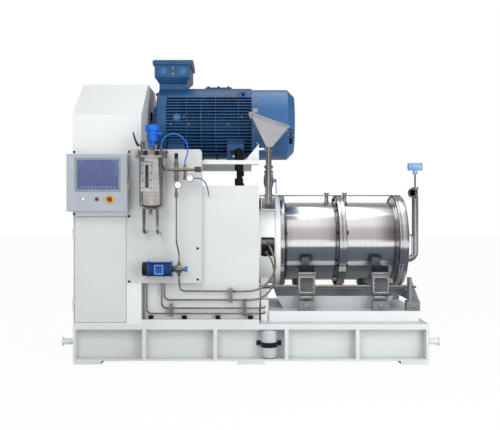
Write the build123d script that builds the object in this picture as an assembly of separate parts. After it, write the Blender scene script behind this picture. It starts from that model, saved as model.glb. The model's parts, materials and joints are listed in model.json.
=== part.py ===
from build123d import *
import math
import os

os.makedirs("parts", exist_ok=True)

# Horizontal bead mill. Millimetres. X runs from the belt guard to the outlet end, Y to the back, Z up.
# The origin is on the floor, under the middle of the base frame.

# Clearances
seat_gap = 0.3
run_gap = 0.05
panel_gap = 3

# Base frame
base_length = 2600
base_depth = 1100
base_height = 270
base_rail = 41
base_lower_flange = 13
base_recess = 100
base_web = 10
deck_sheet = 12
base_rib = 28
base_end_plate = 20
bay_count = 5
cross_web = 12
pad_height = 25
pad_length = 200
pad_width = 120
anchor_hole_d = 18
anchor_inset_x = 105
anchor_inset_y = 60

# Lifting pins at the ends of the base
lift_pin_d = 44
lift_pin_length = 92
lift_pin_collar_d = 62
lift_pin_collar = 8
lift_pin_height = 151
lift_pin_y = 450

# Belt guard
guard_length = 500
guard_shoulder = 1531
guard_height = 1811
guard_top_width = 400
guard_sheet = 5
guard_door_left = 10
guard_door_width = 381
guard_door_bottom = 8
guard_door_height = 777
door_stile = 22
knuckle_d = 12
hinge_pin_d = 6
knuckle_length = 40

# Drive cabinet and its plinth
plinth_height = 33
cabinet_length = 860
cabinet_depth = 960
cabinet_height = 980
cabinet_sheet = 6
cabinet_frame_plate = 25
cabinet_window = 300
shaft_height = 590

# Seal support panel
panel_left = 400
panel_width = 541
panel_bottom = 300
panel_height = 975
panel_sheet = 6
panel_corner = 22

# Control box and its door
control_left = -4
control_width = 422
control_bottom = 821
control_height = 410
control_depth = 90
control_sheet = 3
control_standoff = 6
control_door_depth = 24
screen_width = 323
screen_height = 238
screen_left = 50
screen_top = 28
screen_rim = 17
screen_body_depth = 45
button_height = 88
button_places = (109, 205, 300)
button_hole_d = 22.6
button_collar_d = 30
button_travel = 4
stop_mushroom_d = 40
stop_ring_d = 60
latch_length = 115

# Motor
motor_shaft_height = 315
motor_plate_sheet = 30
motor_plate_lift = 162
motor_plate_depth = 880
motor_plate_left = 15
motor_plate_right = 55
motor_shield_left = 26
motor_shield_length = 69
motor_body_length = 710
motor_core_d = 492
motor_fin_d = 580
motor_fin_pitch = 24
motor_fin = 9
motor_end_band = 52
motor_hood_rise = 190
motor_stator_bore_d = 300
motor_air_gap = 1.5
motor_shaft_d = 90
motor_shaft_reach = 226
cowl_length = 337
cowl_d = 560
cowl_sheet = 4
cowl_chamfer = 55
foot_spread = 508
foot_width = 110
foot_thick = 32
foot_hole_d = 28
terminal_length = 277
terminal_width = 330
terminal_height = 137
terminal_left = 45
terminal_seat = 26
lid_overhang = 14
lid_skirt = 30
lid_slope = 32
tension_travel = 30

# Jack screws under the motor plate
jack_d = 36
jack_length = 283
jack_across_flats = 55
jack_nut = 45
jack_y = 400
jack_inset = 95
jack_left = 100

# Belt drive
belt_count = 6
belt_pitch = 25.5
belt_width = 22
belt_thick = 18
belt_flank = 18
groove_depth = 23
groove_side = 0.5
motor_pulley_d = 250
mill_pulley_d = 500

# Mill shaft, bearings and mechanical seal
shaft_d = 100
shaft_journal_d = 110
bearing_d = 200
bearing_width = 50
bearing_inset = 60
housing_d = 300
housing_left = 100
housing_right = 55
housing_flange_d = 460
housing_flange = 30
housing_foot_width = 230
seal_d = 280
seal_port_d = 24
seal_port_depth = 60

# Adapter housing
adapter_length = 130
adapter_d = 690
adapter_wall = 25
adapter_end_wall = 6
adapter_flange = 35
adapter_flange_d = 720
window_width = 104
window_height = 146
window_corner = 15
foot_block_length = 56

# Grinding chamber
ring_bolt_count = 8
ring_bolt_circle_d = 670
ring_bolt_edge = 24
ring_bolt_seat = 30
ring_d = ring_bolt_circle_d + 2 * ring_bolt_edge
jacket_d = ring_bolt_circle_d - 2 * ring_bolt_seat
left_ring = 33
jacket_length = 874
jacket_wall = 8
liner_bore_d = 500
liner_wall = 12
middle_ring_at = 449
middle_ring = 55
end_ring = 68
ring_bolt_across_flats = 24
ring_bolt_head = 12
ring_bolt_angle = 13
nozzle_d = 30
nozzle_bore_d = 18
nozzle_places = (385, 530)
nozzle_height = 80
wire_rod_d = 9

# Agitator
disc_d = 430
disc_thick = 18
disc_pitch = 72
disc_count = 8
disc_slots = 4
disc_slot_length = 70
disc_slot_width = 34
spacer_d = 130

# Screen cartridge and outlet
cartridge_spigot_d = 400
cartridge_flange_d = 480
cartridge_flange = 15
screen_tube_d = 230
screen_tube_length = 240
screen_tube_wall = 6
pull_handle_height = 180
pull_handle_reach = 60
pull_handle_d = 14
outlet_d = 52
outlet_wall = 2
outlet_drop = 149
outlet_reach = 110
outlet_rise = 530
outlet_aside = 45
outlet_forward = 110
outlet_bend = 60
outlet_top_bend = 50
clamp_d = 77
clamp_thick = 22
probe_d = 14
probe_seat = 8
probe_stem = 120
probe_head_d = 62
probe_head_width = 112

# Pedestal, tray, guide rods and brackets
pedestal_start = 73
pedestal_length = 1127
pedestal_depth = 834
pedestal_height = 77
tray_length = 900
tray_depth = 600
tray_height = 100
tray_sheet = 5
tray_slope = 55
rod_d = 30
rod_drop = 335
rod_spread = 760
bracket_width = 122
bracket_places = (298, 854)
bracket_face = 410
bracket_thick = 70
bracket_foot = 74
bracket_bar = 18
bracket_body = 139
bracket_cap = 29
bracket_pad = 45
end_support_width = 100

# Bead filling line in front of the adapter
hopper_y = -380
hopper_left = -64
hopper_width = 277
hopper_front = -560
hopper_back = -312
hopper_high = 1835
hopper_low = 1736
hopper_apex = 1600
hopper_point = 1572
hopper_sheet_rise = 5.5
lid_sheet = 4
lid_overlap = 12
lid_knuckle_d = 12
lid_ear = 40
lid_ear_inset = 60
ear_gap = 2
hopper_neck_d = 52
line_offset = 73
line_clamp_d = 66
valve_z = 1350
valve_d = 74
valve_length = 52
valve_bore_d = 38
lever_length = 100
elbow_z = 1186
shroud_width = 112
shroud_height = 110
shroud_sheet = 4

# Seal pot and its fittings
pot_from_panel_left = 198
pot_y = -690
pot_d = 180
pot_wall = 4
pot_dome = 36
pot_bottom = 836
pot_height = 378
pot_lid_d = 236
pot_flange = 16
pot_lid = 29
neck_height = 40
pot_port = 68
pot_valve_rise = 28
sight_width = 88
sight_height = 203
manifold_drop = 94
gauge_drop = 62
second_gauge_drop = 82
manifold_reach = 172
fitting_d = 24
gauge_d = 54
gauge_reach = 97
knob_rise = 78
relief_reach = 130
knob_d = 27
transmitter_d = 78

# Pump on the seal panel
pump_z = 409
pump_y = -640
pump_left = 124
pump_motor_d = 118
pump_motor_length = 172
pump_cowl_length = 38
pump_head_d = 62
pump_shaft_d = 14

# Steel tubes and hoses
tube_d = 12
tube_y = -515
water_lifts = (39, 79)
feed_lift = 140
return_lift = 204
braid_d = 15
blue_hose_d = 9
signal_hose_d = 8

# Accumulator in the middle bay
accumulator_d = 114
accumulator_height = 208
accumulator_x = 133
strap_height = 36
strap_thick = 6

# Fasteners
button_head_d = 17
button_head = 6
deck_bolt_d = 40
deck_bolt = 26
deck_bolt_places = (65, 311, 558, 797)

# Levels and stations worked out from the sizes above
x_left = -base_length / 2
x_right = base_length / 2
y_front = -base_depth / 2
deck_z = pad_height + base_height
guard_right = x_left + guard_length
cabinet_right = guard_right + cabinet_length
plinth_z = deck_z + plinth_height
cabinet_z = plinth_z + cabinet_height
shaft_z = deck_z + shaft_height
cabinet_y = -cabinet_depth / 2
adapter_right = cabinet_right + adapter_length
flange_right = adapter_right + adapter_flange
jacket_left = flange_right + left_ring
jacket_right = jacket_left + jacket_length
end_face = jacket_right + end_ring
cover_face = end_face + cartridge_flange
plate_z = cabinet_z + motor_plate_lift
plate_top = plate_z + motor_plate_sheet
motor_z = plate_top + motor_shaft_height
shield_left = guard_right + motor_shield_left
motor_left = shield_left + motor_shield_length
motor_right = motor_left + motor_body_length
panel_x = x_left + panel_left
panel_right = panel_x + panel_width
panel_z = deck_z + panel_bottom
panel_top = panel_z + panel_height
panel_y = y_front - panel_sheet
pedestal_left = cabinet_right + pedestal_start
pedestal_right = pedestal_left + pedestal_length
pedestal_z = deck_z + pedestal_height
guide_z = shaft_z - rod_drop
pot_x = panel_x + pot_from_panel_left
pot_z = deck_z + pot_bottom
pot_top = pot_z + pot_height
lid_top = pot_top + pot_lid
manifold_z = pot_top - manifold_drop
line_x = cabinet_right + line_offset


def block(x0, x1, y0, y1, z0, z1):
    """A box between two corners."""
    centre = Pos((x0 + x1) / 2, (y0 + y1) / 2, (z0 + z1) / 2)
    return centre * Box(x1 - x0, y1 - y0, z1 - z0)


def rod_x(x0, x1, y, z, d):
    """A round bar along X."""
    return Pos((x0 + x1) / 2, y, z) * Rot(0, 90, 0) * Cylinder(d / 2, x1 - x0)


def rod_y(x, y0, y1, z, d):
    """A round bar along Y."""
    return Pos(x, (y0 + y1) / 2, z) * Rot(90, 0, 0) * Cylinder(d / 2, y1 - y0)


def rod_z(x, y, z0, z1, d):
    """A round bar along Z."""
    return Pos(x, y, (z0 + z1) / 2) * Cylinder(d / 2, z1 - z0)


def ring_x(x0, x1, y, z, outer_d, bore_d):
    """A round bar along X with a bore through it."""
    return rod_x(x0, x1, y, z, outer_d) - rod_x(x0 - 1, x1 + 1, y, z, bore_d)


def turned_x(points, y, z):
    """A solid turned about an axis along X, from (station, radius) points."""
    outline = [(points[0][0], 0)] + list(points) + [(points[-1][0], 0)]
    face = make_face(Polyline(*outline, close=True))
    return Pos(0, y, z) * revolve(face, Axis.X)


def prism_x(points, x0, x1):
    """A prism along X whose outline is given as (y, z) points."""
    face = Plane.YZ.offset(x0) * make_face(Polyline(*points, close=True))
    return extrude(face, amount=x1 - x0, dir=(1, 0, 0))


def prism_y(points, y0, y1):
    """A prism along Y whose outline is given as (x, z) points."""
    wire = Polyline(*[(x, y0, z) for x, z in points], close=True)
    return extrude(make_face(wire), amount=y1 - y0, dir=(0, 1, 0))


def hexagon_z(x, y, z0, z1, across_flats):
    """A hexagon nut or head standing along Z."""
    face = Pos(x, y, z0) * RegularPolygon(across_flats / 2, 6, major_radius=False)
    return extrude(face, amount=z1 - z0, dir=(0, 0, 1))


def hexagon_x(x0, x1, y, z, across_flats):
    """A hexagon nut or head lying along X."""
    face = Plane.YZ.offset(x0) * Pos(y, z) * RegularPolygon(across_flats / 2, 6, major_radius=False)
    return extrude(face, amount=x1 - x0, dir=(1, 0, 0))


def corner_radii(points):
    """One radius for each corner of a route, as large as its two runs allow."""
    vectors = [Vector(*p) for p in points]
    radii = []
    for before, here, after in zip(vectors, vectors[1:], vectors[2:]):
        first = here - before
        second = after - here
        turn = math.radians(first.get_angle(second))
        shorter = min(first.length, second.length)
        radii.append(0.45 * shorter / math.tan(turn / 2))
    return radii


def tube_along(points, d, radii=None, bore_d=0):
    """A round tube along straight runs joined by arcs."""
    radii = radii or corner_radii(points)
    path = FilletPolyline(*points, radius=radii)
    start = Plane(origin=points[0], z_dir=Vector(*points[1]) - Vector(*points[0]))
    section = start * Circle(d / 2)
    if bore_d:
        section = section - start * Circle(bore_d / 2)
    return sweep(section, path=path)


def hose(name, points, d):
    """A free hose; its radii and length are printed."""
    radii = corner_radii(points)
    path = FilletPolyline(*points, radius=radii)
    print(name, "radii", [round(r) for r in radii], "length", round(path.length, 1))
    body = tube_along(points, d, radii)
    expected = math.pi * d**2 / 4 * path.length
    print(name, "volume over section times length", round(body.volume / expected, 5))
    save(name, body)


def save(name, *pieces):
    """Writes one sub-part; a piece may hold several separate solids."""
    solids = [solid for piece in pieces for solid in piece.solids()]
    export_step(Compound(solids), f"parts/{name}.step")


def hinge_z(x, y, z):
    """An upright hinge: the fixed knuckle with its pin, and the knuckle that turns on it."""
    middle = z + knuckle_length
    top = middle + knuckle_length
    fixed = rod_z(x, y, z, middle, knuckle_d)
    pin = rod_z(x, y, middle, top - 4, hinge_pin_d)
    turning = rod_z(x, y, middle + seat_gap, top, knuckle_d)
    socket = rod_z(x, y, middle, top - 4 + seat_gap, hinge_pin_d + 2 * run_gap)
    return fixed + pin, turning - socket


def split_plate(plate, rows, x_or_y, reach):
    """Cuts an upright plate with windows into flat plates, so that none goes round a window.

    rows are (low z, high z, half width of the window there, or 0 for none, window centre)."""
    pieces = []
    for low, high, half, centre in rows:
        spans = [(-reach, reach)] if not half else [(-reach, centre - half), (centre + half, reach)]
        for a, b in spans:
            if x_or_y == "y":
                cutter = block(-reach, reach, a, b, low, high)
            else:
                cutter = block(a, b, -reach, reach, low, high)
            pieces.append(plate & cutter)
    return pieces


def base_frame():
    """Welded base: deck, edge rails, set-back webs, lower flanges, ribs, end plates and floor pads."""
    under_deck = deck_z - deck_sheet
    rail_z = deck_z - base_rail
    flange_z = pad_height + base_lower_flange
    inner = -y_front - base_recess
    core = inner - base_web
    bay = base_length / bay_count
    pieces = [block(x_left, x_right, y_front, -y_front, under_deck, deck_z)]
    anchors = []
    for x in (x_left + anchor_inset_x, 0, x_right - anchor_inset_x):
        for side in (-1, 1):
            anchors.append((x, side * (-y_front - anchor_inset_y)))
    holes = [rod_z(x, y, -1, flange_z + 1, anchor_hole_d) for x, y in anchors]
    for side in (-1, 1):
        near, far = sorted((side * core, side * -y_front))
        pieces.append(block(x_left, x_right, near, far, rail_z, under_deck))
        flange = block(x_left, x_right, near, far, pad_height, flange_z)
        pieces.append(flange - holes)
        near, far = sorted((side * core, side * inner))
        pieces.append(block(x_left, x_right, near, far, flange_z, rail_z))
        near, far = sorted((side * inner, side * -y_front))
        for k in range(1, bay_count):
            x = x_left + k * bay
            pieces.append(block(x - base_rib / 2, x + base_rib / 2, near, far, flange_z, rail_z))
        for x in (x_left, x_right - base_end_plate):
            pieces.append(block(x, x + base_end_plate, near, far, flange_z, rail_z))
    for x in (x_left, x_right - base_end_plate):
        pieces.append(block(x, x + base_end_plate, -core, core, pad_height, under_deck))
    for k in range(1, bay_count):
        x = x_left + k * bay
        pieces.append(block(x - cross_web / 2, x + cross_web / 2, -core, core, flange_z, under_deck))
    for x, y in anchors:
        pad_y = math.copysign(-y_front - pad_width / 2, y)
        pad = block(
            x - pad_length / 2,
            x + pad_length / 2,
            pad_y - pad_width / 2,
            pad_y + pad_width / 2,
            0,
            pad_height,
        )
        pieces.append(pad - rod_z(x, y, -1, pad_height + 1, anchor_hole_d))
    save("base_frame", *pieces)


def lifting_pins():
    """A round pin with two collars at each end corner of the base."""
    pins = []
    for end, direction in ((x_left, -1), (x_right, 1)):
        for y in (-lift_pin_y, lift_pin_y):
            inner = end + direction * lift_pin_collar
            outer = inner + direction * lift_pin_length
            a, b = sorted((end, outer))
            pin = rod_x(a, b, y, lift_pin_height, lift_pin_d)
            a, b = sorted((end, inner))
            pin += rod_x(a, b, y, lift_pin_height, lift_pin_collar_d)
            a, b = sorted((outer - direction * lift_pin_collar, outer))
            pin += rod_x(a, b, y, lift_pin_height, lift_pin_collar_d)
            pins.append(pin)
    save("lifting_pins", *pins)


def guard_outline():
    """The belt guard seen from the side: upright walls, two sloping shoulders and a flat top."""
    shoulder = deck_z + guard_shoulder
    top = deck_z + guard_height
    half = guard_top_width / 2
    return [
        (y_front, deck_z),
        (-y_front, deck_z),
        (-y_front, shoulder),
        (half, top),
        (-half, top),
        (y_front, shoulder),
    ]


guard_door_x = x_left + guard_door_left
guard_door_z = deck_z + guard_door_bottom
guard_hinge_y = y_front - knuckle_d / 2


def guard_hinges():
    """The two hinges of the guard door, as pairs of fixed and turning knuckles."""
    spots = (guard_door_z + 90, guard_door_z + guard_door_height - 90 - 2 * knuckle_length)
    return [hinge_z(guard_door_x - knuckle_d / 2, guard_hinge_y, z) for z in spots]


def belt_guard():
    """Sheet casing round the belts, of flat welded sheets, open where the door and the shafts are."""
    outline = guard_outline()
    shoulder = deck_z + guard_shoulder
    top = deck_z + guard_height
    inside = [x_left + guard_sheet, guard_right - guard_sheet]
    left_wall = prism_x(outline, x_left, inside[0])
    slot_half = motor_shaft_d / 2 + 25
    mill_half = shaft_journal_d / 2 + 20
    rows = [
        (deck_z, shaft_z - mill_half, 0, 0),
        (shaft_z - mill_half, shaft_z + mill_half, mill_half, 0),
        (shaft_z + mill_half, motor_z - slot_half, 0, 0),
        (motor_z - slot_half, motor_z + slot_half + tension_travel, slot_half, 0),
        (motor_z + slot_half + tension_travel, top, 0, 0),
    ]
    right_wall = prism_x(outline, inside[1], guard_right)
    right_pieces = split_plate(right_wall, rows, "y", base_length)
    door_top = guard_door_z + guard_door_height
    door_right = guard_door_x + guard_door_width
    front = [
        block(inside[0], inside[1], y_front, y_front + guard_sheet, deck_z, guard_door_z),
        block(inside[0], guard_door_x, y_front, y_front + guard_sheet, guard_door_z, door_top),
        block(door_right, inside[1], y_front, y_front + guard_sheet, guard_door_z, door_top),
        block(inside[0], inside[1], y_front, y_front + guard_sheet, door_top, shoulder),
    ]
    back = block(inside[0], inside[1], -y_front - guard_sheet, -y_front, deck_z, shoulder)
    half = guard_top_width / 2
    top_sheet = block(inside[0], inside[1], -half, half, top - guard_sheet, top)
    slopes = []
    for side in (-1, 1):
        points = [
            (-side * y_front, shoulder),
            (side * half, top),
            (side * half, top - guard_sheet),
            (-side * (y_front + guard_sheet), shoulder),
        ]
        slopes.append(prism_x(points, *inside))
    fixed = [pair[0] for pair in guard_hinges()]
    save("belt_guard", left_wall, *right_pieces, *front, back, top_sheet, *slopes, *fixed)


def guard_door():
    """Hinged door over the driven pulley, a folded tray with a quarter-turn latch."""
    x0 = guard_door_x + panel_gap
    x1 = guard_door_x + guard_door_width - panel_gap
    z0 = guard_door_z + panel_gap
    z1 = guard_door_z + guard_door_height - panel_gap
    door = block(x0, x1, y_front, y_front + guard_sheet, z0, z1)
    rim = block(x0, x1, y_front + guard_sheet, y_front + door_stile, z0, z1)
    rim -= block(
        x0 + guard_sheet,
        x1 - guard_sheet,
        y_front,
        y_front + door_stile + 1,
        z0 + guard_sheet,
        z1 - guard_sheet,
    )
    door += rim
    for _, turning in guard_hinges():
        low = turning.bounding_box().min.Z
        high = turning.bounding_box().max.Z
        leaf = block(guard_door_x, x0 + 14, y_front - 2, y_front, low, high)
        door += turning + leaf
    save("guard_door", door)


def drive_cabinet():
    """Plinth plate and sheet cabinet over the mill shaft, with the thick frame plate at its right."""
    plinth = block(guard_right, cabinet_right, y_front, -y_front, deck_z, plinth_z)
    sheet = cabinet_sheet
    frame_left = cabinet_right - cabinet_frame_plate
    front = block(guard_right, frame_left, cabinet_y, cabinet_y + sheet, plinth_z, cabinet_z - sheet)
    back = block(guard_right, frame_left, -cabinet_y - sheet, -cabinet_y, plinth_z, cabinet_z - sheet)
    top = block(guard_right, cabinet_right, cabinet_y, -cabinet_y, cabinet_z - sheet, cabinet_z)
    frame = block(frame_left, cabinet_right, cabinet_y, -cabinet_y, plinth_z, cabinet_z - sheet)
    half = cabinet_window / 2
    frame -= block(frame_left - 1, cabinet_right + 1, -half, half, shaft_z - half, shaft_z + half)
    rows = [
        (plinth_z, shaft_z - half, 0, 0),
        (shaft_z - half, shaft_z + half, half, 0),
        (shaft_z + half, cabinet_z, 0, 0),
    ]
    frames = split_plate(frame, rows, "y", base_length)
    grommet_x, _, grommet_z = signal_route[-1]
    grommet = rod_y(grommet_x, cabinet_y - 10, cabinet_y, grommet_z, 22)
    save("drive_cabinet", plinth, front, back, top, *frames, grommet)


def seal_panel():
    """Light plate that carries the seal system, with rounded corners and folded edges."""
    face = RectangleRounded(panel_width, panel_height, panel_corner)
    middle = Plane(
        origin=(panel_x + panel_width / 2, panel_y, panel_z + panel_height / 2),
        x_dir=(1, 0, 0),
        z_dir=(0, -1, 0),
    )
    plate = extrude(middle * face, amount=panel_sheet, dir=(0, 1, 0))
    side = block(
        panel_right - panel_sheet,
        panel_right,
        y_front,
        cabinet_y,
        panel_z + panel_corner,
        panel_top - panel_corner,
    )
    lower = block(
        guard_right, panel_right - panel_corner, y_front, cabinet_y, panel_z, panel_z + panel_sheet
    )
    for x, _, _ in tube_tops:
        lower -= rod_z(x, tube_y, panel_z - 1, panel_z + panel_sheet + 1, tube_d + 2 * seat_gap)
    upper = block(
        guard_right, panel_right - panel_corner, y_front, cabinet_y, panel_top - panel_sheet, panel_top
    )
    save("seal_panel", plate, side, lower, upper)


def fasteners():
    """Black button heads on the panels and hexagon bolts on the plinth."""
    left = panel_x + 12
    right = panel_right - 29
    on_panel = [
        (left, panel_z + 956),
        (left, panel_z + 488),
        (left, panel_z + 11),
        (right, panel_z + 252),
        (right, panel_z + 26),
    ]
    heads = [rod_y(x, panel_y - button_head, panel_y, z, button_head_d) for x, z in on_panel]
    for z in (panel_z + 956, panel_z + 503):
        x = x_left + 10
        heads.append(rod_y(x, y_front - button_head, y_front, z, button_head_d))
    for offset in deck_bolt_places:
        x = guard_right + offset
        heads.append(hexagon_z(x, tube_y - 4, plinth_z, plinth_z + deck_bolt, deck_bolt_d * 0.8))
    save("panel_bolts", *heads)


control_x = x_left + control_left
control_right = control_x + control_width
control_z = deck_z + control_bottom
control_top = control_z + control_height
control_back = y_front - control_standoff
control_front = control_back - control_depth
control_face = control_front - control_door_depth
control_hinge_x = control_x - knuckle_d / 2 - 0.5
control_hinge_y = control_front - control_door_depth / 2


def control_hinges():
    """The two hinges of the control door."""
    spots = (control_z + 40, control_top - 40 - 2 * knuckle_length)
    return [hinge_z(control_hinge_x, control_hinge_y, z) for z in spots]


def control_box():
    """Steel box on the guard's front, open towards its door, on four spacers."""
    s = control_sheet
    back = block(control_x, control_right, control_back - s, control_back, control_z, control_top)
    walls = [
        block(control_x, control_x + s, control_front, control_back - s, control_z, control_top),
        block(control_right - s, control_right, control_front, control_back - s, control_z, control_top),
        block(control_x + s, control_right - s, control_front, control_back - s, control_z, control_z + s),
        block(
            control_x + s, control_right - s, control_front, control_back - s, control_top - s, control_top
        ),
    ]
    spacers = []
    for x in (control_x + 40, control_x + control_width - 60):
        for z in (control_z + 40, control_top - 40):
            spacers.append(rod_y(x, control_back, y_front, z, 30))
    leaves = []
    for fixed, _ in control_hinges():
        low = fixed.bounding_box().min.Z
        leaf = block(
            control_x - 2, control_x, control_front, control_front + 24, low, low + knuckle_length
        )
        strap = block(
            control_hinge_x, control_x, control_front, control_front + 2, low, low + knuckle_length
        )
        neck = block(
            control_hinge_x - 1,
            control_hinge_x + 1,
            control_hinge_y,
            control_front + 2,
            low,
            low + knuckle_length,
        )
        leaves.append(fixed + leaf + strap + neck)
    save("control_box", back, *walls, *spacers, *leaves)


screen_x = control_x + screen_left
screen_z = control_top - screen_top - screen_height


def control_door():
    """Pan-shaped door with cut-outs for the screen and the three buttons, and its swing latch."""
    s = control_sheet
    x1 = control_right
    door = block(control_x, x1, control_face, control_front - seat_gap, control_z, control_top)
    door -= block(
        control_x + s,
        x1 - s,
        control_face + s,
        control_front + 1,
        control_z + s,
        control_top - s,
    )
    door -= block(
        screen_x + screen_rim / 2,
        screen_x + screen_width - screen_rim / 2,
        control_face - 1,
        control_face + s + 1,
        screen_z + screen_rim / 2,
        screen_z + screen_height - screen_rim / 2,
    )
    z = control_z + button_height
    for place in button_places:
        door -= rod_y(control_x + place, control_face - 1, control_face + s + 1, z, button_hole_d)
    for _, turning in control_hinges():
        low = turning.bounding_box().min.Z
        high = turning.bounding_box().max.Z
        leaf = block(
            control_hinge_x,
            control_x + 1,
            control_hinge_y - knuckle_d / 2,
            control_hinge_y - knuckle_d / 2 + 2,
            low,
            high,
        )
        door += turning + leaf
    middle = (control_z + control_top) / 2
    plate = block(
        x1,
        x1 + 4,
        control_face + 2,
        control_front - 2,
        middle - latch_length / 2,
        middle + latch_length / 2,
    )
    grip = block(
        x1 + 4,
        x1 + 12,
        control_face + 7,
        control_front - 7,
        middle - latch_length / 2 + 8,
        middle + latch_length / 2 - 25,
    )
    collars = []
    for place, outer in zip(button_places, (button_collar_d, button_collar_d, stop_ring_d)):
        x = control_x + place
        collar = rod_y(x, control_face - 4, control_face, z, outer)
        collars.append(collar - rod_y(x, control_face - 5, control_face + 1, z, button_hole_d))
    save("control_door", door, plate + grip, *collars)


def touch_screen():
    """Touch panel: a rim, the glass set in it and the housing behind the door."""
    x0, x1 = screen_x, screen_x + screen_width
    z0, z1 = screen_z, screen_z + screen_height
    rim = block(x0, x1, control_face - 7, control_face, z0, z1)
    rim -= block(
        x0 + screen_rim,
        x1 - screen_rim,
        control_face - 8,
        control_face - 4,
        z0 + screen_rim,
        z1 - screen_rim,
    )
    half = screen_rim / 2 + 1
    rim += block(
        x0 + half, x1 - half, control_face, control_face + screen_body_depth, z0 + half, z1 - half
    )
    glass = block(
        x0 + screen_rim + 1,
        x1 - screen_rim - 1,
        control_face - 5,
        control_face - 4,
        z0 + screen_rim + 1,
        z1 - screen_rim - 1,
    )
    save("touch_screen", rim, glass)


def push_buttons():
    """Two flat push-buttons and the emergency stop, each with its plunger behind the door."""
    z = control_z + button_height
    neck_d = button_hole_d - 4 * run_gap
    collar_y = control_face - 4
    for name, place in (("start_button", button_places[0]), ("stop_button", button_places[1])):
        x = control_x + place
        cap = rod_y(x, collar_y - button_travel - 1, control_face + 12, z, neck_d)
        save(name, cap)
    x = control_x + button_places[2]
    stem = rod_y(x, collar_y - 12, control_face + 20, z, neck_d)
    edge = 10
    face = make_face(
        Polyline(
            (0, 0),
            (stop_mushroom_d / 2 - 2, 0),
            (stop_mushroom_d / 2, 3),
            (stop_mushroom_d / 2, edge),
            (stop_mushroom_d / 2 - 6, edge + 5),
            (0, edge + 7),
            close=True,
        )
    )
    mushroom = Pos(x, collar_y - 10, z) * Rot(90, 0, 0) * revolve(Plane.XZ * face, Axis.Z)
    save("emergency_stop", stem + mushroom)


def motor_frame():
    """Finned cast frame with feet, its two end shields and the seat of the terminal box."""
    y = 0
    core = rod_x(motor_left, motor_right, y, motor_z, motor_core_d)
    envelope = rod_x(motor_left, motor_right, y, motor_z, motor_fin_d)
    rows = int((motor_fin_d / 2 - motor_fin) // motor_fin_pitch)
    fins = []
    for k in range(-rows, rows + 1):
        z = motor_z + k * motor_fin_pitch
        fins.append(
            block(
                motor_left,
                motor_right,
                -motor_fin_d / 2,
                motor_fin_d / 2,
                z - motor_fin / 2,
                z + motor_fin / 2,
            )
        )
    body = core + [fin & envelope for fin in fins]
    body += rod_x(motor_left, motor_left + motor_end_band, y, motor_z, motor_fin_d)
    hood_half = motor_fin_d / 2
    hood = block(
        motor_left, motor_right, -hood_half, hood_half, motor_z + motor_hood_rise, motor_z + hood_half
    )
    body += hood & envelope
    half_spread = foot_spread / 2
    for side in (-1, 1):
        a, b = sorted((side * (half_spread - foot_width / 2), side * (half_spread + foot_width / 2)))
        for x0, x1 in foot_spans():
            body += block(x0, x1, a, b, plate_top, plate_top + foot_thick)
            inner, outer = sorted((side * 150, side * (half_spread - foot_hole_d)))
            body += block(x0, x1, inner, outer, plate_top + foot_thick, motor_z - 130)
    seat = block(
        terminal_x + 30,
        terminal_x + terminal_length - 30,
        -105,
        105,
        motor_z + 150,
        motor_z + motor_fin_d / 2 + terminal_seat,
    )
    body += seat
    body -= rod_x(motor_left - 1, motor_right + 1, y, motor_z, motor_stator_bore_d)
    for x in foot_holes():
        for side in (-1, 1):
            body -= rod_z(x, side * half_spread, plate_top - 1, plate_top + foot_thick + 1, foot_hole_d)
    bore = motor_shaft_d + 2 * run_gap
    shield = turned_x(
        [
            (shield_left, 90),
            (shield_left, 150),
            (shield_left + 22, 150),
            (shield_left + 40, motor_fin_d / 2 - 25),
            (shield_left + 52, motor_fin_d / 2),
            (motor_left, motor_fin_d / 2),
        ],
        y,
        motor_z,
    )
    shield -= rod_x(shield_left - 1, motor_left + 1, y, motor_z, bore)
    rear = ring_x(motor_right, motor_right + 40, y, motor_z, motor_core_d, bore)
    save("motor_frame", body, shield, rear)


def foot_spans():
    """Stations of the two pairs of motor feet."""
    first = motor_left + 60
    last = motor_right - 60
    return ((first, first + 130), (last - 130, last))


def foot_holes():
    """Stations of the foot bolts, centred on the feet."""
    return [(a + b) / 2 for a, b in foot_spans()]


terminal_x = guard_right + terminal_left
terminal_z = motor_z + motor_fin_d / 2 + terminal_seat


def motor_terminal_box():
    """Terminal box on the motor, with chamfered foot and a sloping overhanging lid."""
    x0 = terminal_x
    x1 = terminal_x + terminal_length
    half = terminal_width / 2
    z0 = terminal_z
    z1 = terminal_z + terminal_height
    lower = Pos((x0 + x1) / 2, 0, z0) * Rectangle(terminal_length - 60, terminal_width - 90)
    upper = Pos((x0 + x1) / 2, 0, z0 + 40) * Rectangle(terminal_length, terminal_width)
    foot = loft([lower, upper], ruled=True)
    box = foot + block(x0, x1, -half, half, z0 + 40, z1)
    rim = half + lid_overhang
    skirt = z1 + lid_skirt
    ridge = skirt + lid_slope
    outline = [(-rim, z1), (rim, z1), (rim, skirt), (60, ridge), (-60, ridge), (-rim, skirt)]
    lid = prism_x(outline, x0 - lid_overhang, x1 + lid_overhang)
    save("motor_terminal_box", box, lid)


def motor_cowl():
    """Fan cowl with a chamfered end and its inlet slots."""
    x0, x1 = motor_right, motor_right + cowl_length
    r = cowl_d / 2
    outer = turned_x([(x0, r), (x1 - cowl_chamfer, r), (x1, r - cowl_chamfer)], 0, motor_z)
    s = cowl_sheet
    inner = turned_x(
        [(x0 - 1, r - s), (x1 - cowl_chamfer - s / 2, r - s), (x1 - s, r - cowl_chamfer - s / 2)], 0, motor_z
    )
    cowl = outer - inner
    slots = []
    for k in range(-4, 5):
        z = motor_z + k * 36
        half = math.sqrt((r - cowl_chamfer - 30) ** 2 - (k * 36) ** 2)
        slots.append(block(x1 - 2 * s, x1 + 1, -half, half, z - 8, z + 8))
    save("motor_cowl", cowl - slots)


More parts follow.
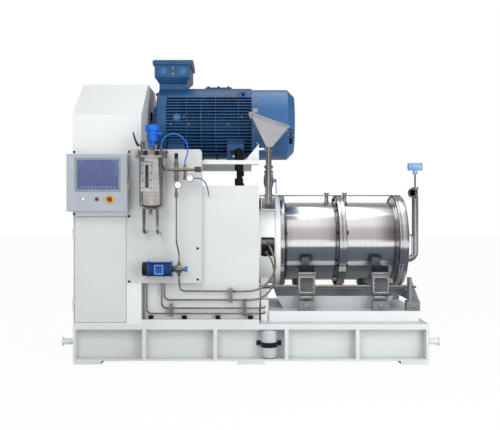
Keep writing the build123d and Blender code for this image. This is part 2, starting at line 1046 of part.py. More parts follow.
def motor_rotor():
    """Motor shaft with its rotor core, and the fan on its tail."""
    r = motor_shaft_d / 2
    core_r = motor_stator_bore_d / 2 - motor_air_gap
    shaft_left = shield_left - motor_shaft_reach
    tail = motor_right + 170
    core_left = motor_left + 60
    core_right = motor_right - 60
    shaft = turned_x(
        [
            (shaft_left, r),
            (core_left, r),
            (core_left, core_r),
            (core_right, core_r),
            (core_right, r),
            (tail, r),
        ],
        0,
        motor_z,
    )
    fan_left = motor_right + 70
    hub = ring_x(fan_left, fan_left + 80, 0, motor_z, motor_shaft_d + 60, motor_shaft_d + 2 * run_gap)
    blades = [
        Pos(0, 0, motor_z)
        * Rot(k * 45, 0, 0)
        * block(fan_left, fan_left + 70, -3, 3, r + 25, cowl_d / 2 - 50)
        for k in range(8)
    ]
    save("motor_rotor", shaft, hub + blades)


def motor_plate():
    """Adjustable plate under the motor with its gusset and the stay arm towards the hopper neck."""
    x0 = guard_right + motor_plate_left
    x1 = motor_right
    half = motor_plate_depth / 2
    plate = block(x0, x1, -half, half, plate_z, plate_top)
    for x, y in jack_points():
        plate -= rod_z(x, y, plate_z - 1, plate_top + 1, jack_d + 2)
    for x in foot_holes():
        for side in (-1, 1):
            plate -= rod_z(x, side * foot_spread / 2, plate_z - 1, plate_top + 1, foot_hole_d)
    tab_right = x1 + motor_plate_right
    tab = block(x1, tab_right, -half, -half + 90, plate_z, plate_top)
    gusset = prism_y(
        [(tab_right - 104, plate_top), (tab_right, plate_top), (tab_right, plate_top + 126)],
        hopper_y - 8,
        hopper_y + 8,
    )
    arm = block(
        tab_right,
        line_x - line_clamp_d / 2 - 1,
        hopper_y - 8,
        hopper_y + 8,
        hopper_apex - 20,
        hopper_apex - 4,
    )
    bolts = []
    for x in foot_holes():
        for side in (-1, 1):
            y = side * foot_spread / 2
            top = plate_top + foot_thick
            bolt = hexagon_z(x, y, top, top + 16, 41)
            bolts.append(bolt + rod_z(x, y, plate_z, top, foot_hole_d - 2))
    save("motor_plate", plate + tab + gusset + arm, *bolts)


def jack_points():
    """Places of the four jack screws."""
    return [
        (x, y)
        for x in (motor_left - 5 + jack_left - 90, motor_right - jack_inset)
        for y in (-jack_y, jack_y)
    ]


def jack_screws():
    """Four threaded posts standing on the cabinet, each with its lower lock nut."""
    pieces = []
    for x, y in jack_points():
        post = rod_z(x, y, cabinet_z, cabinet_z + jack_length, jack_d)
        foot = rod_z(x, y, cabinet_z, cabinet_z + 12, jack_d + 24)
        nut = hexagon_z(x, y, cabinet_z + 12, cabinet_z + 12 + jack_nut, jack_across_flats)
        pieces.append(post + foot + nut)
    save("jack_screws", *pieces)


def jack_nuts():
    """The nuts that grip the motor plate from above and below."""
    nuts = []
    bore = jack_d + 2 * run_gap
    for x, y in jack_points():
        for z in (plate_z - jack_nut, plate_top, plate_top + jack_nut + 1):
            height = jack_nut if z < plate_top + 1 else 0.8 * jack_nut
            nut = hexagon_z(x, y, z, z + height, jack_across_flats)
            nuts.append(nut - rod_z(x, y, z - 1, z + height + 1, bore))
    save("jack_nuts", *nuts)


pulley_width = belt_count * belt_pitch + 10
pulley_right = guard_right - guard_sheet - 15
pulley_left = pulley_right - pulley_width


def groove_stations():
    """Middle of each belt groove."""
    first = pulley_left + pulley_width / 2 - (belt_count - 1) * belt_pitch / 2
    return [first + k * belt_pitch for k in range(belt_count)]


def pulley(z, d, bore_d):
    """Pulley with V grooves and, where it is large, a waisted web between rim and hub."""
    outer = d / 2
    points = [(pulley_left, bore_d / 2), (pulley_left, outer)]
    slope = math.tan(math.radians(belt_flank))
    top = belt_width / 2 + groove_side
    bottom = top - groove_depth * slope
    for x in groove_stations():
        points += [
            (x - top, outer),
            (x - bottom, outer - groove_depth),
            (x + bottom, outer - groove_depth),
            (x + top, outer),
        ]
    points += [(pulley_right, outer), (pulley_right, bore_d / 2)]
    face = make_face(Polyline(*points, close=True))
    wheel = Pos(0, 0, z) * revolve(face, Axis.X)
    if outer > 200:
        hub = bore_d / 2 + 35
        rim = outer - groove_depth - 30
        wheel -= ring_x(pulley_left - 1, pulley_left + 60, 0, z, 2 * rim, 2 * hub)
        wheel -= ring_x(pulley_right - 60, pulley_right + 1, 0, z, 2 * rim, 2 * hub)
    return wheel


def belt_face(x, inset):
    """The belt's run round both pulleys as a flat face, drawn in from its outer edge."""
    big = mill_pulley_d / 2 - inset
    small = motor_pulley_d / 2 - inset
    lean = math.asin((big - small) / (motor_z - shaft_z))
    low = (big * math.cos(lean), shaft_z + big * math.sin(lean))
    high = (small * math.cos(lean), motor_z + small * math.sin(lean))
    right = Line(low, high)
    over = ThreePointArc(high, (0, motor_z + small), (-high[0], high[1]))
    left = Line((-high[0], high[1]), (-low[0], low[1]))
    under = ThreePointArc((-low[0], low[1]), (0, shaft_z - big), low)
    return Plane.YZ.offset(x) * make_face([right, over, left, under])


def belt_loop(x):
    """One closed wedge belt round both pulleys, its flanks leaning like the groove's."""
    slope = math.tan(math.radians(belt_flank))
    half = belt_width / 2
    narrow = half - belt_thick * slope
    halves = []
    for side in (-1, 1):
        wide = loft([belt_face(x, 0), belt_face(x + side * half, 0)], ruled=True)
        flank = loft(
            [belt_face(x + side * narrow, belt_thick), belt_face(x + side * half, 0)], ruled=True
        )
        core = loft([belt_face(x, belt_thick), belt_face(x + side * narrow, belt_thick)], ruled=True)
        halves.append(wide - core - flank)
    return halves[0] + halves[1]


def belt_drive():
    """Both pulleys and the belts between them."""
    save("motor_pulley", pulley(motor_z, motor_pulley_d, motor_shaft_d + 2 * run_gap))
    save("mill_pulley", pulley(shaft_z, mill_pulley_d, shaft_journal_d + 2 * run_gap))
    save("drive_belts", *[belt_loop(x) for x in groove_stations()])


housing_x0 = guard_right + housing_left
housing_x1 = cabinet_right - housing_right
shaft_end = jacket_left + 600


def mill_shaft():
    """Stepped shaft from the driven pulley through both bearings and the seal into the chamber."""
    journal = shaft_journal_d / 2
    r = shaft_d / 2
    journal_end = housing_x1
    shaft = turned_x(
        [
            (pulley_left - 15, journal),
            (journal_end, journal),
            (journal_end, r),
            (shaft_end, r),
            (shaft_end + 20, r - 15),
        ],
        0,
        shaft_z,
    )
    save("mill_shaft", shaft)


def bearing_stations():
    """Left edges of the two bearings in the housing."""
    return (housing_x0 + bearing_inset, housing_x1 - bearing_inset - bearing_width)


def bearing_housing():
    """Cast bearing housing on its foot, bolted to the frame plate by a round flange."""
    housing = rod_x(housing_x0, housing_x1, 0, shaft_z, housing_d)
    half = housing_foot_width / 2
    housing += block(housing_x0 + 30, housing_x1 - 60, -half, half, plinth_z, shaft_z)
    flange_x = cabinet_right - cabinet_frame_plate - housing_flange
    housing += rod_x(housing_x1 - 1, flange_x + 1, 0, shaft_z, housing_d - 30)
    housing += rod_x(flange_x, flange_x + housing_flange, 0, shaft_z, housing_flange_d)
    bore = shaft_journal_d + 20
    housing -= rod_x(housing_x0 - 1, cabinet_right, 0, shaft_z, bore)
    for x in bearing_stations():
        housing -= rod_x(x, x + bearing_width, 0, shaft_z, bearing_d)
    save("bearing_housing", housing)


def shaft_bearings():
    """Two roller bearings between housing and shaft."""
    rings = []
    for x in bearing_stations():
        rings.append(
            ring_x(
                x,
                x + bearing_width,
                0,
                shaft_z,
                bearing_d - 2 * run_gap,
                shaft_journal_d + 2 * run_gap,
            )
        )
    save("shaft_bearings", *rings)


def mechanical_seal():
    """Seal cartridge on the shaft inside the adapter, with its two barrier-fluid ports in front."""
    seal = ring_x(
        cabinet_right + 20, adapter_right, 0, shaft_z, seal_d, shaft_d + 2 * run_gap
    )
    for x, y, z in (flex_long[-1], flex_short[-1]):
        seal += rod_y(x, y, -seal_d / 2 + seal_port_depth, z, seal_port_d)
    save("mechanical_seal", seal)


def adapter_housing():
    """Lantern between cabinet and chamber, with a window on each side and the chamber flange."""
    outer = rod_x(cabinet_right, adapter_right, 0, shaft_z, adapter_d)
    inner = rod_x(
        cabinet_right + adapter_end_wall, adapter_right, 0, shaft_z, adapter_d - 2 * adapter_wall
    )
    shell = outer - inner
    centre = (cabinet_right + adapter_right) / 2
    opening = RectangleRounded(window_width, window_height, window_corner)
    through = Plane(
        origin=(centre + 3, -adapter_d, window_z), x_dir=(1, 0, 0), z_dir=(0, -1, 0)
    )
    shell -= extrude(through * opening, amount=2 * adapter_d, dir=(0, 1, 0))
    flange = rod_x(adapter_right, flange_right, 0, shaft_z, adapter_flange_d)
    shell += flange
    shell -= rod_x(cabinet_right - 1, flange_right + 1, 0, shaft_z, shaft_d + 20)
    save("adapter_housing", shell, adapter_foot(), bead_port_shroud())


window_z = shaft_z - 36


def adapter_foot():
    """Cast foot under the adapter, standing on the deck."""
    x1 = pedestal_left - 2
    x0 = x1 - foot_block_length
    foot = block(x0, x1, -400, 400, deck_z, deck_z + 158)
    foot += block(x0, x1, -200, 200, deck_z + 158, shaft_z - adapter_d / 2 + 60)
    foot -= rod_x(x0 - 1, x1 + 1, 0, shaft_z, adapter_d + 2 * seat_gap)
    return foot


def grinding_chamber():
    """Two jacket sections with their water nozzles, wear liner, and clamp rings with their bolts."""
    nozzle_z = shaft_z + jacket_d / 2
    joint = flange_right + middle_ring_at + middle_ring / 2
    sections = []
    for x0, x1, place in ((jacket_left, joint, nozzle_places[0]), (joint, jacket_right, nozzle_places[1])):
        section = ring_x(x0, x1, 0, shaft_z, jacket_d, jacket_d - 2 * jacket_wall)
        x = flange_right + place
        section += rod_z(x, 0, nozzle_z - jacket_wall / 2, nozzle_z + nozzle_height, nozzle_d)
        section -= rod_z(x, 0, nozzle_z - 2 * jacket_wall, nozzle_z + nozzle_height + 1, nozzle_bore_d)
        sections.append(section)
    save("chamber_jacket", *sections)
    liner_d = liner_bore_d + 2 * liner_wall
    liner = ring_x(flange_right, jacket_right, 0, shaft_z, liner_d, liner_bore_d)
    save("chamber_liner", liner)
    left = ring_x(flange_right, jacket_left, 0, shaft_z, ring_d, liner_d + 2 * seat_gap)
    x = flange_right + middle_ring_at
    middle = ring_x(x, x + middle_ring, 0, shaft_z, ring_d, jacket_d + 2 * seat_gap)
    end = ring_x(jacket_right, end_face, 0, shaft_z, ring_d, cartridge_spigot_d + 2 * seat_gap)
    heads = []
    for k in range(ring_bolt_count):
        angle = math.radians(180 - ring_bolt_angle + k * 360 / ring_bolt_count)
        y = ring_bolt_circle_d / 2 * math.cos(angle)
        z = shaft_z + ring_bolt_circle_d / 2 * math.sin(angle)
        for station in (jacket_left, x + middle_ring):
            heads.append(
                hexagon_x(station, station + ring_bolt_head, y, z, ring_bolt_across_flats)
            )
        heads.append(hexagon_x(x - ring_bolt_head, x, y, z, ring_bolt_across_flats))
    save("clamp_rings", left, middle, end, *heads, wire_rod())


def wire_rod():
    """Thin straight rod that lies across the tops of the rings."""
    y = -45
    r = max(ring_d, adapter_flange_d) / 2
    z = shaft_z + math.sqrt(r**2 - y**2) + wire_rod_d / 2 + seat_gap
    return rod_x(cabinet_right + 5, end_face - 5, y, z, wire_rod_d)


def agitator():
    """Slotted grinding discs with spacers, all on the shaft."""
    pieces = []
    bore = shaft_d + 2 * run_gap
    first = jacket_left + 40
    for k in range(disc_count):
        x = first + k * disc_pitch
        disc = ring_x(x, x + disc_thick, 0, shaft_z, disc_d, bore)
        for n in range(disc_slots):
            turn = Pos(0, 0, shaft_z) * Rot(n * 360 / disc_slots, 0, 0)
            disc -= turn * block(
                x - 1,
                x + disc_thick + 1,
                -disc_slot_width / 2,
                disc_slot_width / 2,
                spacer_d / 2 + 20,
                spacer_d / 2 + 20 + disc_slot_length,
            )
        pieces.append(disc)
        if k + 1 < disc_count:
            pieces.append(ring_x(x + disc_thick, x + disc_pitch, 0, shaft_z, spacer_d, bore))
    save("agitator_discs", *pieces)


outlet_x = cover_face + outlet_reach
outlet_z = shaft_z - outlet_drop
outlet_top = outlet_z + outlet_rise
probe_seat_z = outlet_top + outlet_d / 2 + probe_seat


def screen_cartridge():
    """End cover with its pull handle, and the separator screen that it carries."""
    spigot_left = jacket_right + 15
    cover = rod_x(spigot_left, end_face, 0, shaft_z, cartridge_spigot_d)
    cover += rod_x(end_face, cover_face, 0, shaft_z, cartridge_flange_d)
    cover -= rod_x(end_face - 20, cover_face + 1, 0, outlet_z, outlet_d + 2 * seat_gap)
    x0 = spigot_left - screen_tube_length
    screen = rod_x(x0, spigot_left, 0, shaft_z, screen_tube_d)
    screen -= rod_x(
        x0 + screen_tube_wall, spigot_left + 1, 0, shaft_z, screen_tube_d - 2 * screen_tube_wall
    )
    save("separator_screen", screen)
    half = pull_handle_height / 2
    z = shaft_z - 40
    reach = cover_face + pull_handle_reach
    y = -120
    handle = tube_along(
        [(cover_face, y, z - half), (reach, y, z - half), (reach, y, z + half), (cover_face, y, z + half)],
        pull_handle_d,
        [22, 22],
    )
    save("cartridge_cover", cover, handle)


def outlet_pipe():
    """Product outlet: from the cover, up at the end, and out through a clamp ferrule to the front."""
    bore = outlet_d - 2 * outlet_wall
    points = [
        (end_face - 20, 0, outlet_z),
        (outlet_x, 0, outlet_z),
        (outlet_x, 0, outlet_top),
        (outlet_x - outlet_aside, -outlet_forward, outlet_top),
    ]
    pipe = tube_along(points, outlet_d, [outlet_bend, outlet_top_bend], bore)
    end = Plane(
        origin=points[-1], z_dir=Vector(*points[-1]) - Vector(*points[-2])
    )
    ring = end * Circle(clamp_d / 2) - end * Circle(bore / 2)
    ferrule = extrude(ring, amount=-clamp_thick)
    pipe += ferrule
    pipe += rod_z(outlet_x, 0, outlet_top - 0.8 * outlet_top_bend, probe_seat_z, outlet_d - 8)
    pipe -= tube_along(points, bore, [outlet_bend, outlet_top_bend])
    pipe -= rod_z(outlet_x, 0, outlet_top, probe_seat_z + 1, probe_d + 2 * seat_gap)
    save("outlet_pipe", pipe)


def temperature_probe():
    """Probe standing on the outlet bend: pocket, neck and head with its cable gland."""
    z0 = probe_seat_z
    z1 = z0 + probe_stem
    x = outlet_x
    clamp = rod_z(x, 0, z0, z0 + 14, clamp_d - 20)
    stem = rod_z(x, 0, z0, z1, probe_d)
    neck = rod_z(x, 0, z1, z1 + 34, 40)
    z2 = z1 + 34
    head = rod_x(
        x - probe_head_width / 2, x + probe_head_width / 2, 0, z2 + probe_head_d / 2 - 4, probe_head_d
    )
    save("temperature_probe", clamp + stem, neck + head)


def pedestal():
    """Fabricated plinth under the chamber."""
    half = pedestal_depth / 2
    box = block(pedestal_left, pedestal_right, -half, half, deck_z, pedestal_z)
    save("pedestal", box)


def drip_tray():
    """Sheet tray under the chamber with outward sloping walls."""
    x0 = pedestal_left + 60
    x1 = x0 + tray_length
    half = tray_depth / 2
    s = tray_sheet
    z0 = pedestal_z
    z1 = pedestal_z + tray_height
    lean = tray_slope
    pan = Pos((x0 + x1) / 2, 0, z0) * Rectangle(x1 - x0 - 2 * lean, 2 * (half - lean))
    rim = Pos((x0 + x1) / 2, 0, z1) * Rectangle(x1 - x0, 2 * half)
    outer = loft([pan, rim], ruled=True)
    shift = s * 1.2
    pan = Pos((x0 + x1) / 2, 0, z0 + s) * Rectangle(
        x1 - x0 - 2 * lean - shift, 2 * (half - lean) - shift
    )
    rim = Pos((x0 + x1) / 2, 0, z1 + s) * Rectangle(x1 - x0 - shift, 2 * half - shift)
    inner = loft([pan, rim], ruled=True)
    save("drip_tray", outer - inner)


def guide_rods():
    """Two polished rods from the frame plate to the end support."""
    x1 = end_face - 15
    rods = []
    for side in (-1, 1):
        y = side * rod_spread / 2
        rod = rod_x(cabinet_right, x1, y, guide_z, rod_d)
        rod += rod_x(x1, x1 + 60, y, guide_z, rod_d - 14)
        rods.append(rod)
    save("guide_rods", *rods)


def bracket(x, side):
    """One chamber bracket: foot, studs, bar, rod block and cap."""
    a, b = sorted((side * bracket_face, side * (bracket_face - bracket_thick)))
    x1 = x + bracket_width
    z = pedestal_z
    z1 = z + bracket_foot
    body_z = guide_z - 55
    bar_z = body_z - 30
    piece = block(x, x1, a, b, z, z1)
    piece += block(x + 6, x1 - 6, a + 4, b - 4, bar_z, bar_z + bracket_bar)
    middle = (a + b) / 2
    for stud_x in (x + 30, x1 - 30):
        piece += rod_z(stud_x, middle, z1, body_z, 22)
    top = body_z + bracket_body
    piece += block(x, x1, a, b, body_z, top)
    piece += block(x - 6, x1 + 6, a, b, top, top + bracket_cap)
    piece -= rod_x(x - 7, x1 + 7, side * rod_spread / 2, guide_z, rod_d + 2 * run_gap)
    pad = block(x + 4, x1 - 4, a, b, top + bracket_cap, top + bracket_cap + bracket_pad)
    return piece, pad


def chamber_brackets():
    """Four brackets and the saddles that carry the jacket between them."""
    pieces = []
    pads = []
    for place in bracket_places:
        x = cabinet_right + place
        for side in (-1, 1):
            piece, pad = bracket(x, side)
            pieces.append(piece)
            pads.append(pad)
        middle = x + bracket_width / 2
        inner = bracket_face - bracket_thick
        saddle = block(middle - 30, middle + 30, -inner, inner, guide_z - 20, guide_z + 155)
        saddle -= rod_x(middle - 31, middle + 31, 0, shaft_z, jacket_d + 2 * seat_gap)
        pads.append(saddle)
    save("chamber_brackets", *pieces, *pads, *end_support())


def end_support():
    """Support at the outlet end: feet, upright plates for the rods and leaning ribs."""
    pieces = []
    x0 = end_face - 32
    x1 = x0 + end_support_width
    rod_end = end_face - 15
    for side in (-1, 1):
        a, b = sorted((side * bracket_face, side * (bracket_face - bracket_thick)))
        z1 = pedestal_z + bracket_foot
        piece = block(x0, x1, a, b, pedestal_z, z1)
        piece += block(rod_end, rod_end + 22, a, b, z1, guide_z + 70)
        middle = (a + b) / 2
        piece += prism_y(
            [(rod_end + 22, z1), (x1, z1), (rod_end + 22, guide_z + 60)], middle - 8, middle + 8
        )
        piece -= rod_x(rod_end - 1, x1 + 1, side * rod_spread / 2, guide_z, rod_d - 14 + 2 * run_gap)
        pieces.append(piece)
    inner = bracket_face - bracket_thick
    ring_bottom = shaft_z - ring_d / 2
    cross = block(rod_end, rod_end + 22, -inner, inner, ring_bottom - 75, ring_bottom - 10)
    return [*pieces, cross]


def hopper_pyramid():
    """Four flat sheets that run from the slanted mouth to one point below the neck."""
    x0 = cabinet_right + hopper_left
    x1 = x0 + hopper_width
    point = (line_x, hopper_y, hopper_point)
    mouth = [
        (x0, hopper_front, hopper_high),
        (x1, hopper_front, hopper_low),
        (x1, hopper_back, hopper_low),
        (x0, hopper_back, hopper_high),
    ]
    sides = [
        make_face(Polyline(a, b, point, close=True)) for a, b in zip(mouth, mouth[1:] + mouth[:1])
    ]
    return Solid(Shell([*sides, make_face(Polyline(*mouth, close=True))]))


def bead_hopper():
    """Pyramid hopper of folded sheet with a slanted mouth, and its lid on a two-eared hinge."""
    x0 = cabinet_right + hopper_left
    x1 = x0 + hopper_width
    outside = hopper_pyramid()
    inside = Pos(0, 0, hopper_sheet_rise) * outside
    body = outside - inside
    body -= rod_z(line_x, hopper_y, hopper_point - 1, hopper_apex, 2 * hopper_neck_d)
    pin_x = x0 - lid_knuckle_d / 2
    pin_z = hopper_high + lid_knuckle_d / 2
    front_ear = (hopper_front + lid_ear_inset, hopper_front + lid_ear_inset + lid_ear)
    back_ear = (hopper_back - lid_ear_inset - lid_ear, hopper_back - lid_ear_inset)
    ear_outline = [
        (x0 - lid_knuckle_d, pin_z),
        (x0, pin_z),
        (x0 + 8, hopper_high - 22),
        (x0 + 2, hopper_high - 22),
    ]
    ears = rod_y(pin_x, front_ear[0], back_ear[1], pin_z, hinge_pin_d)
    for y0, y1 in (front_ear, back_ear):
        ears += prism_y(ear_outline, y0, y1) + rod_y(pin_x, y0, y1, pin_z, lid_knuckle_d)
    lean = math.atan2(hopper_high - hopper_low, hopper_width)
    drop = hopper_low - lid_overlap * math.tan(lean)
    lid_outline = [
        (x0 + 2, hopper_high + 1),
        (x0 + 2, hopper_high + 1 + lid_sheet),
        (x1 + lid_overlap, drop + 1 + lid_sheet),
        (x1 + lid_overlap, drop + 1),
    ]
    lid = prism_y(lid_outline, hopper_front - lid_overlap / 2, hopper_back + lid_overlap / 2)
    inner_y = (front_ear[1] + ear_gap, back_ear[0] - ear_gap)
    lid += rod_y(pin_x, *inner_y, pin_z, lid_knuckle_d)
    strap_outline = [
        (pin_x, pin_z + 2),
        (pin_x, pin_z + lid_knuckle_d / 2),
        (x0 + 14, hopper_high + 4),
        (x0 + 14, hopper_high),
    ]
    lid += prism_y(strap_outline, *inner_y)
    lid -= rod_y(pin_x, inner_y[0] - 10, inner_y[1] + 10, pin_z, hinge_pin_d + 2 * run_gap)
    for y0, y1 in (front_ear, back_ear):
        lid -= block(pin_x - 10, pin_x + 16, y0 - ear_gap, y1 + ear_gap, pin_z - 20, pin_z + 20)
    save("bead_hopper", body + (ears - inside))
    save("hopper_lid", lid)


def bead_port_shroud():
    """Open-fronted sheet trough round the filling line where it turns into the adapter."""
    half = shroud_width / 2
    z0 = elbow_z - shroud_height / 2
    z1 = elbow_z + shroud_height / 2
    s = shroud_sheet
    shroud = block(line_x - half, line_x + half, hopper_y - 45, -100, z0, z1)
    shroud -= block(line_x - half + s, line_x + half - s, hopper_y - 46, 0, z0 + s, z1 + 1)
    shroud -= rod_x(cabinet_right, adapter_right, 0, shaft_z, adapter_d + 2 * seat_gap)
    return shroud


valve_bottom = valve_z - valve_length / 2
valve_top = valve_z + valve_length / 2


def bead_line():
    """Filling line from the hopper neck through the ball valve to the port on the adapter."""
    x, y = line_x, hopper_y
    upper = rod_z(x, y, valve_top + 28, hopper_apex, 45)
    for z in (hopper_apex - 30, valve_top + 66, valve_top + 28, valve_top):
        upper += rod_z(x, y, z, z + clamp_thick, line_clamp_d)
    upper += rod_z(x, y, valve_top, valve_top + 30, 45)
    upper -= rod_z(x, y, valve_top - 1, hopper_apex + 1, valve_bore_d)
    lower_top = valve_bottom
    lower = rod_z(x, y, elbow_z, lower_top, hopper_neck_d)
    for z in (lower_top - clamp_thick, lower_top - 100):
        lower += rod_z(x, y, z, z + clamp_thick, line_clamp_d)
    lower += Pos(x, y, elbow_z) * Sphere(hopper_neck_d / 2)
    depth = math.sqrt((adapter_d / 2) ** 2 - (elbow_z - shaft_z) ** 2)
    lower += rod_y(x, y, -depth + 30, elbow_z, hopper_neck_d)
    lower -= rod_x(cabinet_right, adapter_right, 0, shaft_z, adapter_d + 2 * seat_gap)
    lower -= rod_z(x, y, elbow_z, lower_top + 1, valve_bore_d)
    body = rod_z(x, y, valve_bottom, valve_top, valve_d)
    body -= rod_z(x, y, valve_bottom - 1, valve_top + 1, valve_bore_d)
    body += rod_x(x + valve_bore_d / 2 + 6, x + valve_d / 2 + 12, y, valve_z, 26)
    save("bead_line", upper, lower, body)
    lever_x = x + valve_d / 2 + 12
    lever = rod_x(lever_x + seat_gap, lever_x + 10, y, valve_z, 24)
    blade_outline = [
        (lever_x + 2, valve_z + 8),
        (lever_x + 8, valve_z + 8),
        (lever_x + 12, valve_z - lever_length),
        (lever_x + 6, valve_z - lever_length),
    ]
    blade = prism_y(blade_outline, y - 10, y + 10)
    save("bead_valve_lever", lever + blade)


def domed_pot(inset):
    """The pot's round body with its domed bottom, drawn in by a wall."""
    r = pot_d / 2 - inset
    bend = pot_dome - inset
    low = pot_z + inset
    side = Polyline((0, low), (r - bend, low))
    halfway = bend * (1 - math.sqrt(0.5))
    curve = ThreePointArc((r - bend, low), (r - halfway, low + halfway), (r, low + bend))
    rise = pot_top + (1 if inset else 0)
    closing = Polyline((r, low + bend), (r, rise), (0, rise), (0, low))
    face = make_face([side, curve, closing])
    return Pos(pot_x, pot_y, 0) * revolve(Plane.XZ * face, Axis.Z)


def seal_pot():
    """Barrier-fluid pot: shell, flange, lid, ports, outlets and its wall bracket."""
    x, y = pot_x, pot_y
    outside = domed_pot(0)
    shell = outside + rod_z(x, y, pot_top - pot_flange, pot_top, pot_lid_d) - domed_pot(pot_wall)
    back = y + pot_d / 2
    for z in (pot_z + 60, pot_top - 80):
        shell += block(x - 30, x + 30, back - 12, panel_y, z, z + 30)
    lid = rod_z(x, y, pot_top, lid_top, pot_lid_d)
    for dx, d, height in ((0, 30, neck_height), (-pot_port, 30, pot_valve_rise), (64, 22, 34)):
        lid += rod_z(x + dx, y, lid_top, lid_top + height, d)
    bolts = []
    for k in range(8):
        angle = math.radians(22.5 + k * 45)
        bx = x + (pot_lid_d / 2 - 13) * math.cos(angle)
        by = y + (pot_lid_d / 2 - 13) * math.sin(angle)
        bolts.append(hexagon_z(bx, by, lid_top, lid_top + 12, 19))
    outlets = []
    for dx, drop in ((-58, 165), (38, 170)):
        route = [
            (x + dx, y, pot_z + pot_dome / 2),
            (x + dx, y, pot_z - drop),
            (x + dx, panel_y, pot_z - drop),
        ]
        outlets.append(tube_along(route, 22, [30]) - outside)
    stub = rod_z(x - 10, y, pot_z - 38, pot_z, 24)
    save("seal_pot", shell, lid, *bolts, *outlets, stub, *sight_plate())


def sight_plate():
    """Level window on the pot: a seat block, a plate with its slot and the screws."""
    x = pot_x - 22
    z0 = pot_z + 125
    z1 = z0 + sight_height
    half = sight_width / 2
    face = pot_y - pot_d / 2 - 16
    seat = block(x - half + 6, x + half - 6, face + 6, pot_y - 40, z0 + 6, z1 - 6)
    seat -= rod_z(pot_x, pot_y, z0, z1, pot_d + 2 * seat_gap)
    plate = block(x - half, x + half, face, face + 6, z0, z1)
    plate -= block(x - 12, x + 12, face - 1, face + 3, z0 + 25, z1 - 22)
    screws = []
    for dx in (-half + 14, half - 14):
        for k in range(4):
            z = z0 + 22 + k * (sight_height - 44) / 3
            screws.append(rod_y(x + dx, face - 4, face, z, 9))
    return [seat, plate, *screws]


def level_transmitter():
    """Level transmitter on the pot lid: neck, body and cap with a side gland."""
    x, y = pot_x, pot_y
    z = lid_top + neck_height
    neck = rod_z(x, y, z, z + 36, 42)
    body = rod_z(x, y, z + 36, z + 110, transmitter_d)
    cap = rod_z(x, y, z + 110, z + 150, transmitter_d + 22)
    gland = rod_x(x + transmitter_d / 2 - 5, x + transmitter_d / 2 + 30, y, z + 92, 20)
    save("level_transmitter", neck + body + cap + gland)


pot_valve_z = lid_top + pot_valve_rise
pot_valve_x = pot_x - pot_port


def gas_fittings():
    """Valves, crosses and tubes that feed the pot with gas, fixed to the panel by a bracket."""
    y = pot_y
    z = manifold_z
    x = pot_x + manifold_reach
    main = rod_x(pot_x + pot_d / 2 - 1, x + relief_reach, y, z, fitting_d)
    main -= rod_z(pot_x, pot_y, pot_z, pot_top, pot_d + 2 * seat_gap)
    main += rod_x(x - 22, x + 22, y, z, fitting_d + 14)
    main += rod_z(x, y, z - second_gauge_drop, z + knob_rise, fitting_d)
    main += rod_z(x, y, z + 25, z + 48, fitting_d + 12)
    main += rod_z(x, y, z - second_gauge_drop, z - 46, fitting_d + 10)
    branch_x = x + 60
    gauge_x = x + gauge_reach
    main += rod_x(branch_x - 16, branch_x + 16, y, z, fitting_d + 10)
    main += rod_z(branch_x, y, z - 75, z, fitting_d - 6)
    main += rod_z(branch_x, y, z, z + 32, fitting_d - 4)
    behind = y + 22 + seat_gap
    main += rod_x(branch_x - 14, gauge_x, behind, z - gauge_drop, fitting_d - 4)
    main += rod_y(branch_x, y, behind, z - gauge_drop, fitting_d - 4)
    arm = block(x - 12, x + 12, y + fitting_d / 2 - 4, panel_y, z - 10, z + 10)
    main += arm
    valve = rod_z(pot_valve_x, pot_y, pot_valve_z, pot_valve_z + 46, 30)
    valve += rod_x(pot_valve_x - 26, pot_valve_x, pot_y, pot_valve_z + 23, 18)
    save("gas_fittings", main, valve)
    knob_z = z + knob_rise
    save("gas_knob", rod_z(x, y, knob_z + seat_gap, knob_z + 36, knob_d))
    side_x = x + relief_reach
    save("relief_knob", rod_x(side_x + seat_gap, side_x + 46, y, z, knob_d + 14))
    lever_x = pot_valve_x - 26
    lever = rod_x(lever_x - 12, lever_x - seat_gap, pot_y, pot_valve_z + 23, 20)
    lever += prism_y(
        [
            (lever_x - 12, pot_valve_z + 13),
            (lever_x - 2, pot_valve_z + 30),
            (lever_x - 22, pot_valve_z + 62),
            (lever_x - 36, pot_valve_z + 112),
            (lever_x - 44, pot_valve_z + 110),
            (lever_x - 32, pot_valve_z + 56),
        ],
        pot_y - 9,
        pot_y + 9,
    )
    save("pot_valve_lever", lever)
    gauges = []
    first = (gauge_x, y, z - gauge_drop)
    second = (x + 14, y - 18, z - second_gauge_drop - 30)
    for cx, cy, cz in (first, second):
        gauges.append(rod_y(cx, cy - 18, cy + 12, cz, gauge_d))
    gauges[0] += rod_x(gauge_x, signal_route[0][0], y, z - gauge_drop, 12)
    gauges[1] += rod_z(x, y, z - 200, z - second_gauge_drop, 16)
    gauges[1] += rod_z(x, y, z - 200, z - 165, 26)
    save("pressure_gauges", *gauges)


pump_x = panel_x + pump_left
pump_axis_z = deck_z + pump_z
pump_motor_x = pump_x + pump_cowl_length
pump_neck_x = pump_motor_x + pump_motor_length
pump_head_x = pump_neck_x + 30
pump_shaft_end = pump_head_x + 30


